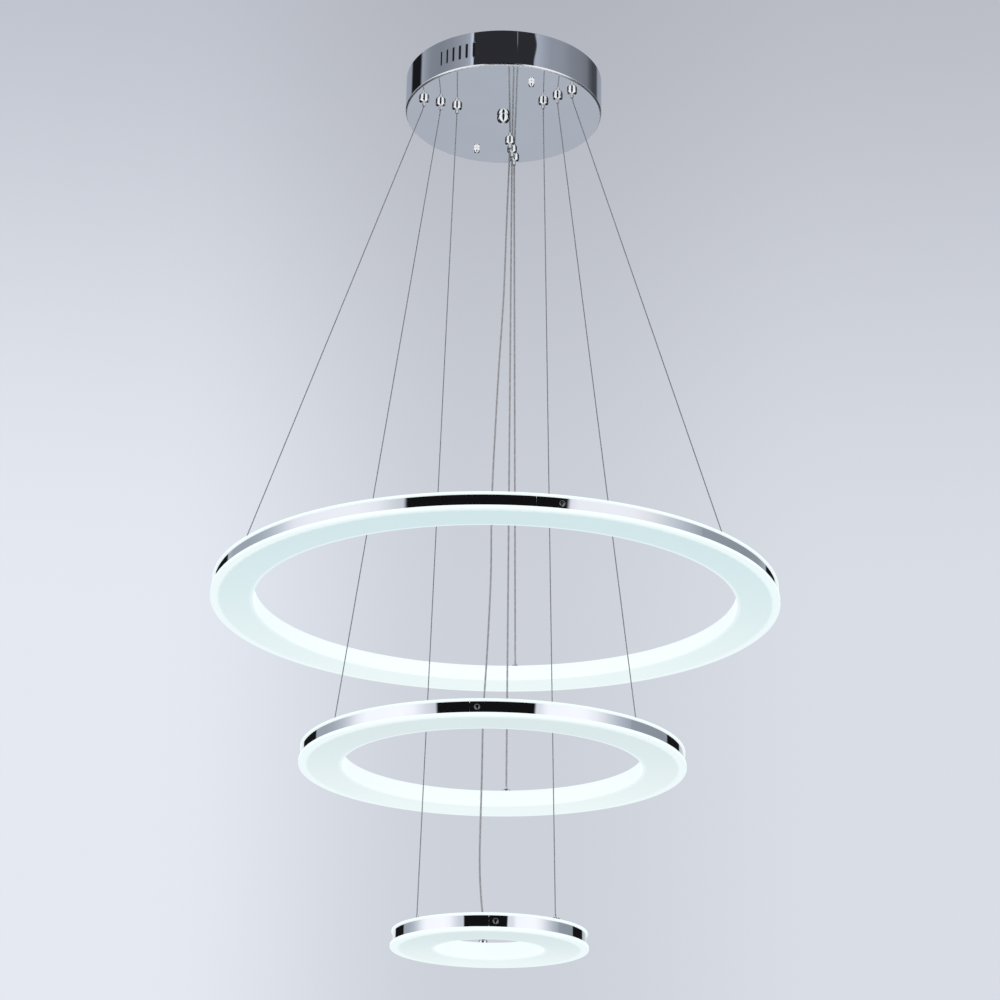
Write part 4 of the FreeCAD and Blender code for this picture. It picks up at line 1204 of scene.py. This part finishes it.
# ---------------------------------------------------------------- LED driver
# A closed case moulded in two halves from matt white plastic. They meet in a fine step round its
# sides, and four small screws hold them. It stands on the canopy's underside by an ear at each end.
def moulded_finish(name, first, second):
    """Moulded plastic: a fine spark-eroded grain, and a colour that is a little uneven."""
    material, tree = new_finish(name)
    cloud = grain(tree, 40, 3.0)
    pits = grain(tree, 2200, 2.0)
    sockets = {"Base Color": tree.mix(cloud, first, second), "Roughness": 0.46 + 0.14 * pits}
    coat(tree, {**sockets, "Normal": bump(tree, pits, 0.03 * MM)})
    return material


DRIVER_PLACE = at(*spoke(64 * MM, math.radians(22)), 0)
DRIVER_LENGTH, DRIVER_WIDTH, DRIVER_ROUND = 104 * MM, 38 * MM, 3 * MM
EAR_LENGTH, EAR_THICKNESS, EAR_HOLE = 9 * MM, 2 * MM, 1.7 * MM
driver_low, driver_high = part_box("led_driver")
driver_height = driver_high.z - driver_low.z
driver_stand = DRIVER_PLACE @ at(0, 0, driver_low.z, BAR_ANGLE)
PARTING_STEP = 0.15 * MM
parting = driver_height * 0.56
case_line = rounded_box(DRIVER_LENGTH, DRIVER_WIDTH, DRIVER_ROUND, 6)
ear_middle = (DRIVER_LENGTH + EAR_LENGTH) / 2
ear_outlines = [
    rounded_box(DRIVER_LENGTH + 2 * EAR_LENGTH, DRIVER_WIDTH * 0.4, 2.5 * MM, 6),
    *(circle(EAR_HOLE, sign * ear_middle) for sign in (1, -1)),
]
step_line = rounded_box(DRIVER_LENGTH - 0.8 * MM, DRIVER_WIDTH - 0.8 * MM, DRIVER_ROUND - 0.4 * MM, 6)
tray = plate_mesh([case_line], parting - PARTING_STEP, 0.4 * MM)
core = plate_mesh([step_line], 1.0 * MM, 0.02 * MM)
lid = plate_mesh([case_line], driver_height - parting - PARTING_STEP, 0.7 * MM)
ears = plate_mesh(ear_outlines, EAR_THICKNESS, 0.3 * MM)
CASE_WELL, WELL_DEPTH = 2.4 * MM, 2 * MM
well = pin_mesh(CASE_WELL, -WELL_DEPTH, WELL_DEPTH)
corner_spots = [
    (x * (DRIVER_LENGTH / 2 - 6 * MM), y * (DRIVER_WIDTH / 2 - 6 * MM)) for x in (1, -1) for y in (1, -1)
]
lid_piece = add_piece("lid", lid)
lid_piece.data.transform(Matrix.Translation((0, 0, driver_height)))
carve(lid_piece, [(well, at(*spot, driver_height)) for spot in corner_spots])
case_finish = moulded_finish("driver_case", (0.74, 0.74, 0.72), (0.8, 0.8, 0.79))
driver = joined("driver_housing", [
    (tray, driver_stand @ at(0, 0, parting - PARTING_STEP), 0),
    (core, driver_stand @ at(0, 0, parting + 0.5 * MM), 0),
    (taken(lid_piece), driver_stand, 0),
    (ears, driver_stand @ at(0, 0, EAR_THICKNESS), 0),
], case_finish)
fit(driver, "canopy_assembly", "driver_case", "led_driver")
case_screw = screw_mesh(2.1 * MM, 1.2 * MM, 1.0 * MM, 2 * MM, 0.55 * MM, 2)
case_screws = joined("driver_screws", [
    (case_screw, driver_stand @ at(*spot, driver_height - WELL_DEPTH, 0.5 * i), 0)
    for i, spot in enumerate(corner_spots)
], zinc)
fit(case_screws, "canopy_assembly", "zinc_steel")


# ---------------------------------------------------------------- terminal block
# A three-way block moulded from off-white plastic. In each way a brass tube takes the mains wire, and
# a slotted screw comes down on it through a well.
TERMINAL_LENGTH, TERMINAL_WIDTH = 32 * MM, 17 * MM
TERMINAL_PITCH, TERMINAL_BORE = 10 * MM, 2.1 * MM
TERMINAL_ANGLE, TERMINAL_TURN = math.radians(247), math.radians(337)
terminal_low, terminal_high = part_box("terminal_block")
terminal_height = terminal_high.z - terminal_low.z
terminal_place = at(*spoke(66 * MM, TERMINAL_ANGLE), terminal_low.z)
terminal_stand = terminal_place @ Matrix.Rotation(TERMINAL_TURN, 4, "Z")
bore_level = terminal_height / 3
crosswise = Matrix.Rotation(math.pi / 2, 4, "X")
ways = [(sign * TERMINAL_PITCH, 0) for sign in (-1, 0, 1)]
block_line = rounded_box(TERMINAL_LENGTH, TERMINAL_WIDTH, 1 * MM, 4)
block = add_piece("block", plate_mesh([block_line], terminal_height, 0.6 * MM))
block.data.transform(Matrix.Translation((0, 0, terminal_height)))
bore = pin_mesh(TERMINAL_BORE, -20 * MM, 20 * MM)
well = pin_mesh(TERMINAL_BORE, 0, 20 * MM)
groove = plate_mesh([rounded_box(1.2 * MM, TERMINAL_WIDTH + 2 * MM, 0.3 * MM, 2)], 2 * MM, 0.05 * MM)
carve(block, [(bore, at(*way, bore_level) @ crosswise) for way in ways])
carve(block, [
    *((well, at(*way, bore_level)) for way in ways),
    *((groove, at(sign * TERMINAL_PITCH / 2, 0, terminal_height + 0.8 * MM)) for sign in (1, -1)),
])
terminal_finish = moulded_finish("terminal_plastic", (0.76, 0.74, 0.68), (0.83, 0.81, 0.76))
terminal = joined("terminal_housing", [(taken(block), terminal_stand, 0)], terminal_finish)
fit(terminal, "canopy_assembly", "terminal_plastic", "terminal_block")

brass_finish, tree = new_finish("brass")
tarnish = grain(tree, 300, 3.0)
sockets = {"Base Color": tree.mix(tarnish, (0.7, 0.5, 0.2), (0.82, 0.64, 0.32)), "Metallic": 1.0}
coat(tree, {**sockets, "Roughness": 0.22 + 0.2 * tarnish})
TUBE_BORE, TUBE_RADIUS, TUBE_REACH = 1.5 * MM, TERMINAL_BORE - 0.05 * MM, 7 * MM
tube = turned_mesh([
    (TUBE_BORE, -TUBE_REACH), (TUBE_RADIUS, -TUBE_REACH), (TUBE_RADIUS, TUBE_REACH), (TUBE_BORE, TUBE_REACH),
], 32, ring=True)
clamp_screw = screw_mesh(1.9 * MM, 0.8 * MM, 1.2 * MM, 3.5 * MM, 0.6 * MM, 1)
screw_level = terminal_height - 4 * MM
brass = joined("terminal_brass", [
    *((tube, terminal_stand @ at(*way, bore_level) @ crosswise, 0) for way in ways),
    *((clamp_screw, terminal_stand @ at(*way, screw_level, 0.4 * i), 0) for i, way in enumerate(ways)),
], brass_finish)
fit(brass, "canopy_assembly", "terminal_plastic")
